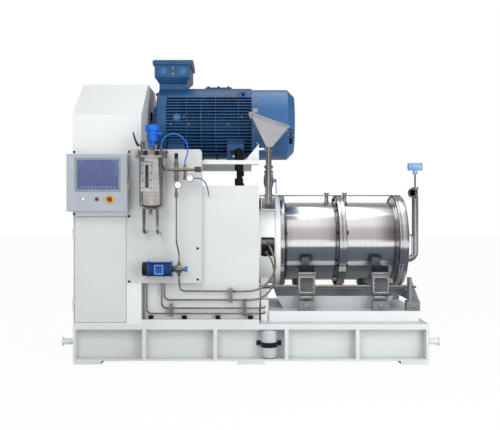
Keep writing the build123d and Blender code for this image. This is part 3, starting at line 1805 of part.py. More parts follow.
def pump():
    """Circulation pump: finned motor with cowl and terminal box, and the pump head at its right."""
    y, z = pump_y, pump_axis_z
    r = pump_motor_d / 2
    motor = rod_x(pump_motor_x, pump_neck_x, y, z, pump_motor_d - 14)
    envelope = rod_x(pump_motor_x + 8, pump_neck_x - 8, y, z, pump_motor_d)
    fins = []
    for k in range(-4, 5):
        fin_z = z + k * 12
        fins.append(block(pump_motor_x, pump_neck_x, y - r, y + r, fin_z - 2, fin_z + 2) & envelope)
    motor += fins
    motor += rod_x(pump_motor_x, pump_motor_x + 8, y, z, pump_motor_d)
    motor += rod_x(pump_neck_x - 8, pump_neck_x, y, z, pump_motor_d)
    middle = (pump_motor_x + pump_neck_x) / 2
    motor += block(middle - 30, middle + 30, y - r - 22, y - r + 12, z - 32, z + 32)
    motor += block(middle - 55, middle + 55, y + 30, panel_y, z - 40, z - 20)
    motor -= rod_x(pump_motor_x - 1, pump_neck_x + 1, y, z, 44)
    cowl = rod_x(pump_x, pump_motor_x, y, z, pump_motor_d - 16)
    cowl -= rod_x(pump_x + 3, pump_motor_x + 1, y, z, pump_motor_d - 22)
    save("pump_motor", motor, cowl)
    head = rod_x(pump_neck_x, pump_head_x, y, z, 46)
    head += rod_x(pump_head_x, pump_head_x + 40, y, z, pump_head_d)
    head += rod_x(pump_head_x + 40, pump_head_x + 64, y, z, 34)
    port_x = pump_head_x + 20
    head += rod_z(port_x, y, z - pump_head_d / 2 - 18, z + pump_head_d / 2 + 18, 22)
    head -= rod_x(pump_neck_x - 1, pump_shaft_end + 2, y, z, pump_shaft_d + 2 * run_gap)
    cap = rod_x(pump_head_x + 64, pump_head_x + 82, y, z, 40)
    save("pump_head", head, cap)
    shaft = rod_x(pump_x + 8, pump_shaft_end, y, z, pump_shaft_d)
    shaft += rod_x(pump_motor_x + 20, pump_neck_x - 20, y, z, 43)
    fan = rod_x(pump_x + 12, pump_x + 26, y, z, pump_motor_d - 40)
    save("pump_rotor", shaft + fan)


tube_tops = [
    (guard_right + 12, 0, 0),
    (guard_right + 33, 0, 0),
    (guard_right + 144, 0, 0),
    (guard_right + 164, 0, 0),
]
flex_long_x = cabinet_right - 170
flex_short_x = cabinet_right - 89
return_z = plinth_z + return_lift
feed_z = plinth_z + feed_lift


def steel_tubes():
    """Bent steel tubes between the seal panel, the pump and the clamps on the cabinet."""
    top = panel_z + panel_sheet + 40
    x0, x1, x2, x3 = [x for x, _, _ in tube_tops]
    end_x = pedestal_left - 30
    bend = 3 * tube_d
    drain = rod_z(x0, tube_y, plinth_z, top, tube_d)
    water_low = tube_along(
        [
            (x1, tube_y, top),
            (x1, tube_y, plinth_z + water_lifts[0]),
            (end_x, tube_y, plinth_z + water_lifts[0]),
            (end_x, -400, plinth_z + water_lifts[0]),
        ],
        tube_d,
        [bend, bend],
    )
    water_high = tube_along(
        [
            (x2, tube_y, top),
            (x2, tube_y, plinth_z + water_lifts[1]),
            (end_x, tube_y, plinth_z + water_lifts[1]),
            (end_x, -400, plinth_z + water_lifts[1]),
        ],
        tube_d,
        [bend, bend],
    )
    feed = tube_along(
        [(x3, tube_y, top), (x3, tube_y, feed_z), (flex_short_x, tube_y, feed_z)], tube_d, [bend]
    )
    port_x = pump_head_x + 20
    low_port = pump_axis_z - pump_head_d / 2 - 18
    back = tube_along(
        [
            (port_x, pump_y, low_port),
            (port_x, pump_y, low_port - 45),
            (port_x, tube_y, return_z),
            (flex_long_x, tube_y, return_z),
        ],
        tube_d,
        [bend * 0.9, bend],
    )
    high_port = pump_axis_z + pump_head_d / 2 + 18
    gauge_z = manifold_z - 200
    gas_x = pot_x + manifold_reach
    riser = tube_along(
        [
            (gas_x, pot_y, gauge_z),
            (gas_x, pot_y, high_port + 150),
            (port_x, pump_y, high_port + 60),
            (port_x, pump_y, high_port),
        ],
        10,
        [40, 40],
    )
    ferrules = [
        ring_x(flex_long_x - 25, flex_long_x, tube_y, return_z, 20, tube_d),
        ring_x(flex_short_x - 25, flex_short_x, tube_y, feed_z, 20, tube_d),
    ]
    tubes = [drain, water_low, water_high, feed + ferrules[1], back + ferrules[0], riser]
    save("steel_tubes", *tubes, *tube_clamps())


def tube_clamps():
    """Clamp blocks that hold the tubes on the cabinet front."""
    places = (
        (guard_right + 214, plinth_z + 21, plinth_z + 109, water_lifts),
        (cabinet_right - 207, plinth_z + 120, plinth_z + 225, (feed_lift, return_lift)),
        (cabinet_right - 108, plinth_z + 21, plinth_z + 124, water_lifts),
    )
    clamps = []
    for x, z0, z1, tubes in places:
        clamp = block(x - 11, x + 11, tube_y - 14, cabinet_y, z0, z1)
        for dz in tubes:
            clamp -= rod_x(x - 12, x + 12, tube_y, plinth_z + dz, tube_d + 2 * seat_gap)
        clamps.append(clamp)
    return clamps


seal_port_x = cabinet_right + 76
flex_long = [
    (flex_long_x, tube_y, return_z),
    (flex_long_x + 62, tube_y, return_z),
    (flex_long_x + 134, tube_y, return_z + 3),
    (flex_long_x + 206, tube_y + 12, return_z + 32),
    (flex_long_x + 262, tube_y + 32, return_z + 88),
    (flex_long_x + 292, tube_y + 58, return_z + 160),
    (flex_long_x + 288, tube_y + 80, return_z + 236),
    (flex_long_x + 262, tube_y + 104, return_z + 300),
    (seal_port_x, tube_y + 160, return_z + 332),
    (seal_port_x, tube_y + 235, return_z + 337),
    (seal_port_x, tube_y + 308, return_z + 337),
]
flex_short = [
    (flex_short_x, tube_y, feed_z),
    (flex_short_x + 50, tube_y, feed_z),
    (flex_short_x + 108, tube_y + 10, feed_z + 12),
    (flex_short_x + 162, tube_y + 36, feed_z + 50),
    (flex_short_x + 198, tube_y + 76, feed_z + 108),
    (flex_short_x + 206, tube_y + 110, feed_z + 176),
    (flex_short_x + 196, tube_y + 126, feed_z + 246),
    (flex_short_x + 176, tube_y + 136, feed_z + 302),
    (seal_port_x - 14, tube_y + 178, feed_z + 330),
    (seal_port_x - 14, tube_y + 240, feed_z + 333),
    (seal_port_x - 14, tube_y + 300, feed_z + 333),
]
gas_hose_x = pot_x + 64
gas_hose_z = lid_top + 34
gas_end_x = pot_x + manifold_reach + 60
gas_end_z = manifold_z + 32
gas_route = [
    (gas_hose_x, pot_y, gas_hose_z),
    (gas_hose_x, pot_y, gas_hose_z + 36),
    (gas_hose_x + 30, pot_y, gas_hose_z + 80),
    (gas_hose_x + 82, pot_y, gas_hose_z + 101),
    (gas_hose_x + 134, pot_y, gas_hose_z + 86),
    (gas_hose_x + 178, pot_y, gas_hose_z + 42),
    (gas_hose_x + 194, pot_y, gas_hose_z - 14),
    (gas_hose_x + 182, pot_y, gas_hose_z - 61),
    (gas_end_x, pot_y, gas_end_z + 26),
    (gas_end_x, pot_y, gas_end_z),
]
signal_x = pot_x + manifold_reach + gauge_reach + gauge_d / 2 + 10
signal_z = manifold_z - gauge_drop
signal_route = [
    (signal_x, pot_y, signal_z),
    (signal_x + 34, pot_y, signal_z),
    (signal_x + 66, pot_y + 18, signal_z - 22),
    (signal_x + 82, pot_y + 55, signal_z - 58),
    (signal_x + 86, pot_y + 105, signal_z - 94),
    (signal_x + 86, cabinet_y - 48, signal_z - 120),
    (signal_x + 86, cabinet_y - 10, signal_z - 120),
]


def accumulator():
    """Pressure vessel with domed ends, standing in the middle bay under its strap."""
    z0 = pad_height + base_lower_flange + 4
    y = y_front + base_recess - accumulator_d / 2 - 2
    r = accumulator_d / 2
    dish = 0.45 * r
    steps = [(r - dish * (1 - math.sin(a)), dish * (1 - math.cos(a))) for a in (0, 0.52, 1.05, math.pi / 2)]
    low_end = [(radius, z0 + rise) for radius, rise in steps]
    high_end = [(radius, z0 + accumulator_height - rise) for radius, rise in reversed(steps)]
    profile = make_face(Polyline((0, z0), *low_end, *high_end, (0, z0 + accumulator_height), close=True))
    vessel = Pos(accumulator_x, y, 0) * revolve(Plane.XZ * profile, Axis.Z)
    vessel += rod_z(accumulator_x, y, z0 - 4, z0 + 4, 50)
    middle = z0 + accumulator_height * 0.48
    low, high = middle - strap_height / 2, middle + strap_height / 2
    outer = rod_z(accumulator_x, y, low, high, accumulator_d + 2 * strap_thick)
    web_y = y_front + base_recess
    outer += block(accumulator_x - r - strap_thick, accumulator_x + r + strap_thick, y, web_y, low, high)
    outer -= rod_z(accumulator_x, y, low - 1, high + 1, accumulator_d + 2 * seat_gap)
    inside = r + seat_gap
    outer -= block(accumulator_x - inside, accumulator_x + inside, y, web_y + 1, low - 1, high + 1)
    outer &= block(accumulator_x - 2 * r, accumulator_x + 2 * r, y - 2 * r, web_y, low, high)
    for side in (-1, 1):
        a, b = sorted((accumulator_x + side * (r + strap_thick), accumulator_x + side * (r + 36)))
        outer += block(a, b, web_y - strap_thick, web_y, low, high)
        bolt_x = accumulator_x + side * (r + 22)
        outer += rod_y(bolt_x, web_y - strap_thick - 24, web_y, middle, 22)
    save("accumulator", vessel, outer)


base_frame()
lifting_pins()
belt_guard()
guard_door()
drive_cabinet()
seal_panel()
fasteners()
control_box()
control_door()
touch_screen()
push_buttons()
motor_frame()
motor_terminal_box()
motor_cowl()
motor_rotor()
motor_plate()
jack_screws()
jack_nuts()
belt_drive()
mill_shaft()
bearing_housing()
shaft_bearings()
mechanical_seal()
adapter_housing()
grinding_chamber()
agitator()
screen_cartridge()
outlet_pipe()
temperature_probe()
pedestal()
drip_tray()
guide_rods()
chamber_brackets()
bead_hopper()
bead_line()
seal_pot()
level_transmitter()
gas_fittings()
pump()
steel_tubes()
hose("flex_hose_long", flex_long, braid_d)
hose("flex_hose_short", flex_short, braid_d)
hose("gas_hose", gas_route, blue_hose_d)
hose("signal_hose", signal_route, signal_hose_d)
accumulator()
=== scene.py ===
import json
import math
import bpy
from mathutils import Matrix, Vector

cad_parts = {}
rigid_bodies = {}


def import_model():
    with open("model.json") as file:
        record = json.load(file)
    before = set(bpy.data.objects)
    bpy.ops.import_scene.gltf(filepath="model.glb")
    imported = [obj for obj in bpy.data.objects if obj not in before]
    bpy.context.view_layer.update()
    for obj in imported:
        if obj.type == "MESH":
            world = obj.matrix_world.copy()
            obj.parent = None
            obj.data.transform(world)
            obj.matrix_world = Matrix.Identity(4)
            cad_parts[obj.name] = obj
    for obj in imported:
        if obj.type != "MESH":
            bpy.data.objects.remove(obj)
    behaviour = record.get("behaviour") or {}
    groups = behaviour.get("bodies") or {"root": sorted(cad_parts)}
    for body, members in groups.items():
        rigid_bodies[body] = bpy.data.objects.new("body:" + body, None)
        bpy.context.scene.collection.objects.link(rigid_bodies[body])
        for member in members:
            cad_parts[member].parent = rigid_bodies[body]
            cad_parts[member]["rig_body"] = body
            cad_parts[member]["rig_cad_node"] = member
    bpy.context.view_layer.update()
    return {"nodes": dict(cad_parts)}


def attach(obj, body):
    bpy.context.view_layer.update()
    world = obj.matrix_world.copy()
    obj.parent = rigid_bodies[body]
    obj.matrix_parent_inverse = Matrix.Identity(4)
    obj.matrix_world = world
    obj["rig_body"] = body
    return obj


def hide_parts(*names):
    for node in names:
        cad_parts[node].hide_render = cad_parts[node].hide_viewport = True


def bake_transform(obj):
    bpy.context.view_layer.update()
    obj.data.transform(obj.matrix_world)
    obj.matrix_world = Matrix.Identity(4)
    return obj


# Horizontal bead mill. Metres; X runs to the outlet end, Y to the back and Z up.
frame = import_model()
nodes = frame["nodes"]
print("frame loaded:", len(nodes), "nodes")


# Colours and shader nodes
def linearColour(hexCode):  # sRGB hex to the linear values of a shader
    parts = [int(hexCode[i:i + 2], 16) / 255 for i in (0, 2, 4)]
    linear = [c / 12.92 if c <= 0.04045 else ((c + 0.055) / 1.055) ** 2.4 for c in parts]
    return (*linear, 1.0)


def addNode(tree, kind, settings, links=()):  # settings are attributes or inputs, links are (input, output)
    node = tree.nodes.new(kind)
    for key, value in settings.items():
        if isinstance(key, str) and hasattr(node, key):
            setattr(node, key, value)
        else:
            node.inputs[key].default_value = value
    for socket, source in links:
        tree.links.new(source, node.inputs[socket])
    return node


def newMaterial(name, shaderSettings):
    material = bpy.data.materials.new(name)
    material.use_nodes = True
    tree = material.node_tree
    tree.nodes.clear()
    shader = addNode(tree, "ShaderNodeBsdfPrincipled", shaderSettings)
    addNode(tree, "ShaderNodeOutputMaterial", {}, [("Surface", shader.outputs["BSDF"])])
    place = addNode(tree, "ShaderNodeTexCoord", {}).outputs["Object"]
    return material, tree, shader, place


def addRamp(tree, factor, *stops):  # each stop is its position and colour, from low to high
    ramp = addNode(tree, "ShaderNodeValToRGB", {}, [("Fac", factor)])
    elements = ramp.color_ramp.elements
    for element, (position, tone) in zip((elements[0], elements[1]), (stops[0], stops[-1])):
        element.position = position
        element.color = linearColour(tone)
    for position, tone in stops[1:-1]:
        elements.new(position).color = linearColour(tone)
    return ramp.outputs["Color"]


def addNoise(tree, place, feature, detail, rasp=0.5):  # one feature every so many millimetres
    settings = {"Scale": 1000 / feature, "Detail": detail, "Roughness": rasp}
    return addNode(tree, "ShaderNodeTexNoise", settings, [("Vector", place)]).outputs["Fac"]


def coverSurface(tree, shader, colour, gloss, span, relief, strength, depth, edge):
    tree.links.new(colour, shader.inputs["Base Color"])
    rough = addNode(tree, "ShaderNodeMapRange", {3: span[0], 4: span[1]}, [("Value", gloss)])
    tree.links.new(rough.outputs["Result"], shader.inputs["Roughness"])
    rounded = addNode(tree, "ShaderNodeBevel", {"samples": 4, "Radius": edge / 1000})
    bump = addNode(tree, "ShaderNodeBump", {"Strength": strength, "Distance": depth / 1000},
                   [("Height", relief), ("Normal", rounded.outputs["Normal"])])
    tree.links.new(bump.outputs["Normal"], shader.inputs["Normal"])


# Powder coat on folded sheet: an even satin skin with a faint orange peel, edges rounded by the film
powderLook = {"drift": 700, "tones": (0.32, 0.62), "duller": 0.07, "glossier": 0.05, "strength": 0.1, "depth": 0.6,
              "edge": 2.0}


def powderCoat(name, tone, shade, roughness, peel=7):
    material, tree, shader, place = newMaterial(name, {"IOR": 1.5, "Coat Weight": 0.15, "Coat Roughness": 0.25})
    drift = addNoise(tree, place, powderLook["drift"], detail=2)
    low, high = powderLook["tones"]
    colour = addRamp(tree, drift, (low, shade), (high, tone))
    grain = addNoise(tree, place, peel, detail=3)
    span = (roughness - powderLook["glossier"], roughness + powderLook["duller"])
    coverSurface(tree, shader, colour, grain, span, grain, powderLook["strength"], powderLook["depth"],
                 powderLook["edge"])
    return material


# Enamel over a sand casting: the grain of the mould shows through a glossy skin
castLook = {"drift": 160, "tones": (0.3, 0.66), "duller": 0.14, "glossier": 0.08, "depth": 0.8, "edge": 2.5}


def castEnamel(name, tone, shade, roughness, grit=4, strength=0.35):
    material, tree, shader, place = newMaterial(name, {
        "IOR": 1.5, "Specular IOR Level": 0.35, "Coat Weight": 0.08, "Coat Roughness": 0.2})
    drift = addNoise(tree, place, castLook["drift"], detail=4)
    low, high = castLook["tones"]
    colour = addRamp(tree, drift, (low, shade), (high, tone))
    grain = addNoise(tree, place, grit, detail=5, rasp=0.6)
    span = (roughness - castLook["glossier"], roughness + castLook["duller"])
    coverSurface(tree, shader, colour, drift, span, grain, strength, castLook["depth"], castLook["edge"])
    return material


# Turned, rolled or brushed metal: fine lines that lie across one axis, with a cloudy gloss
metalLook = {"unit": 1000, "cloud": 130, "tones": (0.35, 0.62), "duller": 0.09, "glossier": 0.06, "depth": 0.3}
anyWay = {"Anisotropic": 0.3}
alongAxis = {"Anisotropic": 0.85, "Anisotropic Rotation": 0.25}


def linedMetal(name, tone, shade, roughness, lines, edge=1.0, strength=0.12, metallic=1.0, turned=False):
    material, tree, shader, place = newMaterial(name, {"Metallic": metallic, **(alongAxis if turned else anyWay)})
    if turned:  # turning marks run round the X axis, so highlights stretch along it
        marks = addNode(tree, "ShaderNodeTangent", {"direction_type": "RADIAL", "axis": "X"})
        tree.links.new(marks.outputs["Tangent"], shader.inputs["Tangent"])
    stretch = addNode(tree, "ShaderNodeMapping", {"Scale": [1000 / size for size in lines]}, [("Vector", place)])
    brush = addNoise(tree, stretch.outputs["Vector"], metalLook["unit"], detail=4, rasp=0.65)  # scaled already
    cloud = addNoise(tree, place, metalLook["cloud"], detail=3)
    low, high = metalLook["tones"]
    colour = addRamp(tree, brush, (low, shade), (high, tone))
    span = (roughness - metalLook["glossier"], roughness + metalLook["duller"])
    coverSurface(tree, shader, colour, cloud, span, brush, strength, metalLook["depth"], edge)
    return material


# Moulded plastic or rubber: a fine etched grain and a soft shine
plasticLook = {"drift": 40, "tones": (0.3, 0.65), "duller": 0.08, "glossier": 0.06, "depth": 0.2, "edge": 0.8}


def mouldedSkin(name, tone, shade, roughness, grain=1.6, strength=0.12, coat=0.0):
    material, tree, shader, place = newMaterial(name, {"IOR": 1.49, "Coat Weight": coat})
    speck = addNoise(tree, place, grain, detail=3)
    drift = addNoise(tree, place, plasticLook["drift"], detail=2)
    low, high = plasticLook["tones"]
    colour = addRamp(tree, drift, (low, shade), (high, tone))
    span = (roughness - plasticLook["glossier"], roughness + plasticLook["duller"])
    coverSurface(tree, shader, colour, speck, span, speck, strength, plasticLook["depth"], plasticLook["edge"])
    return material


# Every finish: its maker, tone, shade and roughness, and what differs from the maker's usual values
even = (4, 4, 4)
fine = (2, 2, 2)
clear = {"grain": 3, "strength": 0.02}
finishTable = {
    "powderCoatWhite": (powderCoat, "E3E6E6", "DCE0E0", 0.38, {}),  # white guard sheets, bright and even
    "powderCoatPanel": (powderCoat, "CCD0D0", "C6CACA", 0.38, {}),  # pale grey backing sheet, a step darker
    "powderCoatDoor": (powderCoat, "D0D3D3", "CACECE", 0.38, {}),  # the door reads greyer than the guard above it
    "powderCoatBase": (powderCoat, "D6DADA", "CFD3D3", 0.38, {}),  # off-white of the base and the cabinet
    "powderCoatLitWhite": (powderCoat, "EFF1F1", "E9ECEC", 0.38, {}),  # painted light: a brighter copy of the guard's white on the adapter, lifting it out of the shade it sits in
    "powderCoatControl": (powderCoat, "AAB2BA", "A0A9B2", 0.34, {}),  # grey-blue enclosure
    "powderCoatTray": (powderCoat, "C6CDD0", "BAC2C5", 0.38, {}),  # cool grey tray
    "powderCoatBracket": (powderCoat, "757C81", "666D72", 0.42, {}),  # dark grey brackets
    "vesselEnamel": (powderCoat, "BEC5C9", "B0B7BC", 0.3, {"peel": 9}),  # smooth pale vessel
    "motorEnamel": (castEnamel, "2A5684", "1F4772", 0.34, {}),  # deep blue on sandy grey iron
    "cowlEnamel": (powderCoat, "37689C", "2D5A8B", 0.32, {"peel": 6}),  # pressed sheet, lighter blue
    "pumpEnamel": (castEnamel, "1F4A94", "163A78", 0.3, {"grit": 3}),  # royal blue pump
    "primedIron": (castEnamel, "73777A", "5F6366", 0.5, {"grit": 3, "strength": 0.5}),  # dull grey
    "transmitterEnamel": (castEnamel, "1A6FE0", "1260C8", 0.3, {"grit": 2, "strength": 0.15}),  # vivid
    "probeEnamel": (castEnamel, "8FB4DC", "7BA2CD", 0.3, {"grit": 2, "strength": 0.15}),  # light blue
    "polishedStainless": (linedMetal, "F4F3F3", "E6E5E5", 0.17, {  # long level streaks on the chamber
        "lines": (2.5, 500, 500), "strength": 0.03, "turned": True}),
    "turnedStainless": (linedMetal, "CFCFCE", "B9B9B8", 0.2, {"lines": (1.4, 300, 300)}),  # tool marks
    "brushedSheet": (linedMetal, "E4E4E6", "D4D4D7", 0.46, {  # flat pale sheet of the hopper
        "lines": (300, 300, 1.6), "metallic": 0.5}),
    "turnedRing": (linedMetal, "E6E5E5", "D6D5D5", 0.2, {  # rings with a brighter sheen than pipes
        "lines": (1.4, 300, 300), "strength": 0.05, "turned": True}),
    "uprightStainless": (linedMetal, "C6C4C1", "AFADAA", 0.17, {"lines": (500, 500, 3)}),  # warm pipe
    "drawnTube": (linedMetal, "A39E98", "8A857F", 0.24, {"lines": (8, 8, 8)}),  # brownish drawn tube
    "hardChrome": (linedMetal, "D8D9DA", "CCCDCE", 0.1, {"lines": (2, 200, 200)}),  # mirror-like
    "machinedFitting": (linedMetal, "B5AFA8", "99938C", 0.27, {"lines": fine}),  # satin fittings
    "groundSteel": (linedMetal, "A5A6A8", "8E8F92", 0.25, {"lines": (1.5, 200, 200)}),  # grey steel
    "blackOxide": (linedMetal, "35363A", "222326", 0.4, {"lines": even}),  # near-black screws
    "screenGlass": (mouldedSkin, "4A5088", "434A80", 0.14, {"coat": 0.6, **clear}),  # violet glass
    "buttonWhite": (mouldedSkin, "E9E8E2", "DFDED8", 0.3, {}),  # milky cap
    "buttonRed": (mouldedSkin, "7A1B16", "641410", 0.3, {}),  # dark red cap
    "stopRed": (mouldedSkin, "8E2A18", "7A2012", 0.28, {"strength": 0.1, "coat": 0.3}),  # brick red
    "blackGrip": (mouldedSkin, "17181A", "101113", 0.4, {}),  # black handles and marks
    "greyKnob": (mouldedSkin, "4A4846", "3B3937", 0.4, {}),  # dark warm grey
    "leverSleeve": (mouldedSkin, "1244D6", "0D37B8", 0.3, {"strength": 0.1, "coat": 0.4}),  # dipped blue
    "beltRubber": (mouldedSkin, "1D1D1E", "141415", 0.62, {"grain": 2.5, "strength": 0.4}),  # matt
    "airHose": (mouldedSkin, "1B6FD8", "155FC4", 0.22, {  # bright blue hose with a thin highlight
        "grain": 2, "strength": 0.04, "coat": 0.5}),
    "signalHose": (mouldedSkin, "12307E", "0D2568", 0.25, {  # navy hose
        "grain": 2, "strength": 0.04, "coat": 0.5}),
    "steelBraid": (linedMetal, "CDC6BC", "8F887F", 0.3, {  # speckled wire braid
        "lines": (3, 3, 3), "edge": 0.5, "strength": 0.6}),
    "bezelGrey": (mouldedSkin, "8C949C", "7F8790", 0.4, {}),  # grey frame of the display
    "displayMask": (mouldedSkin, "4F5F7C", "46556F", 0.2, {"coat": 0.5, **clear}),  # slate border
    "displayGlass": (mouldedSkin, "4E5788", "485080", 0.12, {  # lit page behind glass
        "grain": 3, "strength": 0.01, "coat": 0.6}),
    "pageField": (mouldedSkin, "5C90C4", "5084B8", 0.2, {"coat": 0.4, **clear}),  # light blue fields
    "stopYellow": (mouldedSkin, "D9B514", "CDA90F", 0.4, {}),  # yellow plate
    "satinPlate": (linedMetal, "EDEDEB", "DEDEDC", 0.42, {"lines": fine, "strength": 0.1}),  # white steel
    "potStainless": (linedMetal, "C3C0BE", "ABA8A5", 0.14, {"lines": (500, 500, 3)}),  # upright streaks
    "levelGlass": (mouldedSkin, "14171C", "0E1115", 0.08, {  # dark wet glass
        "grain": 3, "strength": 0.01, "coat": 0.8}),
    "dialWhite": (mouldedSkin, "F4F4F2", "EDEDEB", 0.35, {}),  # white dial
    "fanCover": (mouldedSkin, "121316", "0C0D0F", 0.4, {}),  # black plastic cover of the pump fan, and painted shade on the faces of the motor's foot pockets
    "strapBlack": (mouldedSkin, "161719", "0F1012", 0.45, {}),  # black strap
    "burnishedSteel": (linedMetal, "8A8C90", "717377", 0.34, {"lines": even}),  # dark cheek plates
    "brightEdge": (linedMetal, "D0CFCE", "BAB9B8", 0.22, {"lines": even}),  # bright rims and rollers
    "shadowGapBlack": (mouldedSkin, "1B1B1D", "131314", 0.55, {}),  # painted shadow: thin black rings standing in for the shade in the gaps beside the clamp rings
    "zincScrew": (linedMetal, "D5D2CC", "BDBAB4", 0.3, {"lines": fine}),  # pale zinc screws
    "plugEnamel": (castEnamel, "3B6FA3", "305F90", 0.3, {"grit": 3, "strength": 0.2}),  # lighter blue
    "pumpCover": (castEnamel, "5B8FD0", "4A7DBF", 0.3, {"grit": 3, "strength": 0.2}),  # sky blue lid
    "padRubber": (mouldedSkin, "18191A", "101111", 0.6, {"grain": 2.5, "strength": 0.4}),  # matt pads
}
finishes = {}
for name, (maker, tone, shade, roughness, options) in finishTable.items():
    finishes[name] = maker(name, tone, shade, roughness, **options)

finishOf = {
    "base_frame": "powderCoatBase", "lifting_pins": "powderCoatWhite", "belt_guard": "powderCoatWhite",
    "guard_door": "powderCoatDoor", "panel_bolts": "blackOxide", "control_box": "powderCoatControl",
    "control_door": "powderCoatControl", "touch_screen": "screenGlass", "start_button": "buttonWhite",
    "stop_button": "buttonRed", "emergency_stop": "stopRed", "drive_cabinet": "powderCoatBase",
    "seal_panel": "powderCoatPanel", "bearing_housing": "primedIron", "shaft_bearings": "hardChrome",
    # the adapter takes the brighter white of painted light
    "adapter_housing": "powderCoatLitWhite", "mechanical_seal": "groundSteel",
    "chamber_jacket": "polishedStainless", "chamber_liner": "groundSteel", "clamp_rings": "turnedRing",
    "guide_rods": "drawnTube", "chamber_brackets": "powderCoatBracket", "pedestal": "powderCoatWhite",
    "drip_tray": "powderCoatTray", "bead_line": "uprightStainless", "bead_hopper": "brushedSheet",
    "hopper_lid": "brushedSheet", "bead_valve_lever": "leverSleeve", "seal_pot": "uprightStainless",
    "level_transmitter": "transmitterEnamel", "gas_fittings": "machinedFitting", "gas_knob": "blackGrip",
    "relief_knob": "greyKnob", "pot_valve_lever": "blackGrip", "pressure_gauges": "machinedFitting",
    "gas_hose": "airHose", "signal_hose": "signalHose", "pump_head": "machinedFitting",
    "pump_motor": "pumpEnamel", "pump_rotor": "groundSteel", "steel_tubes": "drawnTube",
    "flex_hose_long": "drawnTube", "flex_hose_short": "drawnTube", "accumulator": "vesselEnamel",
    "jack_screws": "blackOxide", "jack_nuts": "blackOxide", "drive_belts": "beltRubber",
    "motor_frame": "motorEnamel", "motor_cowl": "cowlEnamel", "motor_terminal_box": "motorEnamel",
    "motor_plate": "powderCoatWhite", "motor_rotor": "groundSteel", "motor_pulley": "primedIron",
    "mill_pulley": "primedIron", "mill_shaft": "groundSteel", "agitator_discs": "groundSteel",
    "cartridge_cover": "turnedRing", "separator_screen": "groundSteel",
    "outlet_pipe": "uprightStainless", "temperature_probe": "probeEnamel",
}
for nodeName, finishName in finishOf.items():
    part = nodes[nodeName]
    if not part.material_slots:
        part.data.materials.append(None)
    for materialSlot in part.material_slots:
        materialSlot.link = "OBJECT"
        materialSlot.material = finishes[finishName]
print("materials made:", len(finishes))


# Modelling helpers. An operator acts on all that is selected, so each starts from nothing selected
def fresh():
    if bpy.context.object and bpy.context.object.mode != "OBJECT":
        bpy.ops.object.mode_set(mode="OBJECT")
    bpy.ops.object.select_all(action="DESELECT")


def take(*pieces):
    fresh()
    for piece in pieces:
        piece.select_set(True)
    bpy.context.view_layer.objects.active = pieces[0]
    return pieces[0]


def settle():  # the place goes into the mesh
    bpy.ops.object.transform_apply(location=True, rotation=True, scale=True)
    return bpy.context.object


upTo = {"X": (0, math.pi / 2, 0), "Y": (math.pi / 2, 0, 0), "Z": (0, 0, 0)}  # Y points to the operator


def addDrum(middle, axis, radius, length, sides=40, endRadius=None):
    fresh()
    bpy.ops.mesh.primitive_cone_add(vertices=sides, radius1=radius, radius2=endRadius or radius, depth=length,
                                    location=middle, rotation=upTo[axis])
    return settle()


def addBlock(low, high):
    fresh()
    bpy.ops.mesh.primitive_cube_add(size=1, location=(Vector(low) + Vector(high)) / 2)
    bpy.context.object.scale = Vector(high) - Vector(low)
    return settle()


def addRing(middle, axis, radius, wire, sides=64):
    fresh()
    bpy.ops.mesh.primitive_torus_add(major_radius=radius, minor_radius=wire, major_segments=sides,
                                     minor_segments=12, location=middle, rotation=upTo[axis])
    return settle()


def pickFaces(piece, test):  # leaves edit mode on, with the faces that pass the test selected
    take(piece)
    bpy.ops.object.mode_set(mode="EDIT")
    bpy.ops.mesh.select_mode(type="FACE")
    bpy.ops.mesh.select_all(action="DESELECT")
    bpy.ops.object.mode_set(mode="OBJECT")
    for face in piece.data.polygons:
        face.select = test(face)
    bpy.ops.object.mode_set(mode="EDIT")


def pickFront(piece):  # the faces that look at the operator
    pickFaces(piece, lambda face: face.normal.y < -0.9)


def pickEnds(piece, axis):
    pickFaces(piece, lambda face: abs(face.normal["XYZ".index(axis)]) > 0.9)


def stepIn(*steps):  # each step insets the selected faces by a width and moves them by a depth
    for width, depth in steps:
        bpy.ops.mesh.inset(thickness=width, depth=depth)


def giveSlot(piece, index):  # the selected faces take one of the piece's materials
    piece.active_material_index = index
    bpy.ops.object.material_slot_assign()


def soften(piece, width, segments=2, angle=35):
    take(piece)
    bevel = piece.modifiers.new("softEdge", "BEVEL")
    bevel.width = width
    bevel.segments = segments
    bevel.angle_limit = math.radians(angle)
    bpy.ops.object.modifier_apply(modifier="softEdge")
    return piece


def paint(piece, *finishNames):
    piece.data.materials.clear()
    for finishName in finishNames:
        piece.data.materials.append(finishes[finishName])
    return piece


def joined(pieces):
    take(*pieces)
    bpy.ops.object.join()
    return bpy.context.object


def finishPiece(piece, name, body, smooth=32):
    take(piece)
    bpy.ops.object.shade_smooth_by_angle(angle=math.radians(smooth))
    piece.name = name
    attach(piece, body)
    return piece


def copies(piece, places):  # a copy with its own mesh at each place, and the first one goes
    made = []
    for place in places:
        twin = piece.copy()
        twin.data = piece.data.copy()
        bpy.context.scene.collection.objects.link(twin)
        twin.data.transform(Matrix.Translation(place))
        made.append(twin)
    bpy.data.objects.remove(piece)
    return made


def sortedCopy(nodeName, choose):  # each solid of the node gets the finish that its low and high corners ask for
    twin = nodes[nodeName].copy()
    twin.data = nodes[nodeName].data.copy()
    twin.data.materials.clear()
    bpy.context.scene.collection.objects.link(twin)
    twin.parent = None
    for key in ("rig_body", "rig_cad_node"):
        del twin[key]
    take(twin)
    bpy.ops.object.mode_set(mode="EDIT")
    bpy.ops.mesh.select_all(action="SELECT")
    bpy.ops.mesh.remove_doubles(threshold=0.000002)
    bpy.ops.mesh.customdata_custom_splitnormals_clear()
    bpy.ops.mesh.separate(type="LOOSE")
    bpy.ops.object.mode_set(mode="OBJECT")
    solids = list(bpy.context.selected_objects)
    for solid in solids:
        corners = [v.co for v in solid.data.vertices]
        low = Vector([min(c[k] for c in corners) for k in range(3)])
        high = Vector([max(c[k] for c in corners) for k in range(3)])
        paint(solid, choose(low, high))
    return joined(solids)


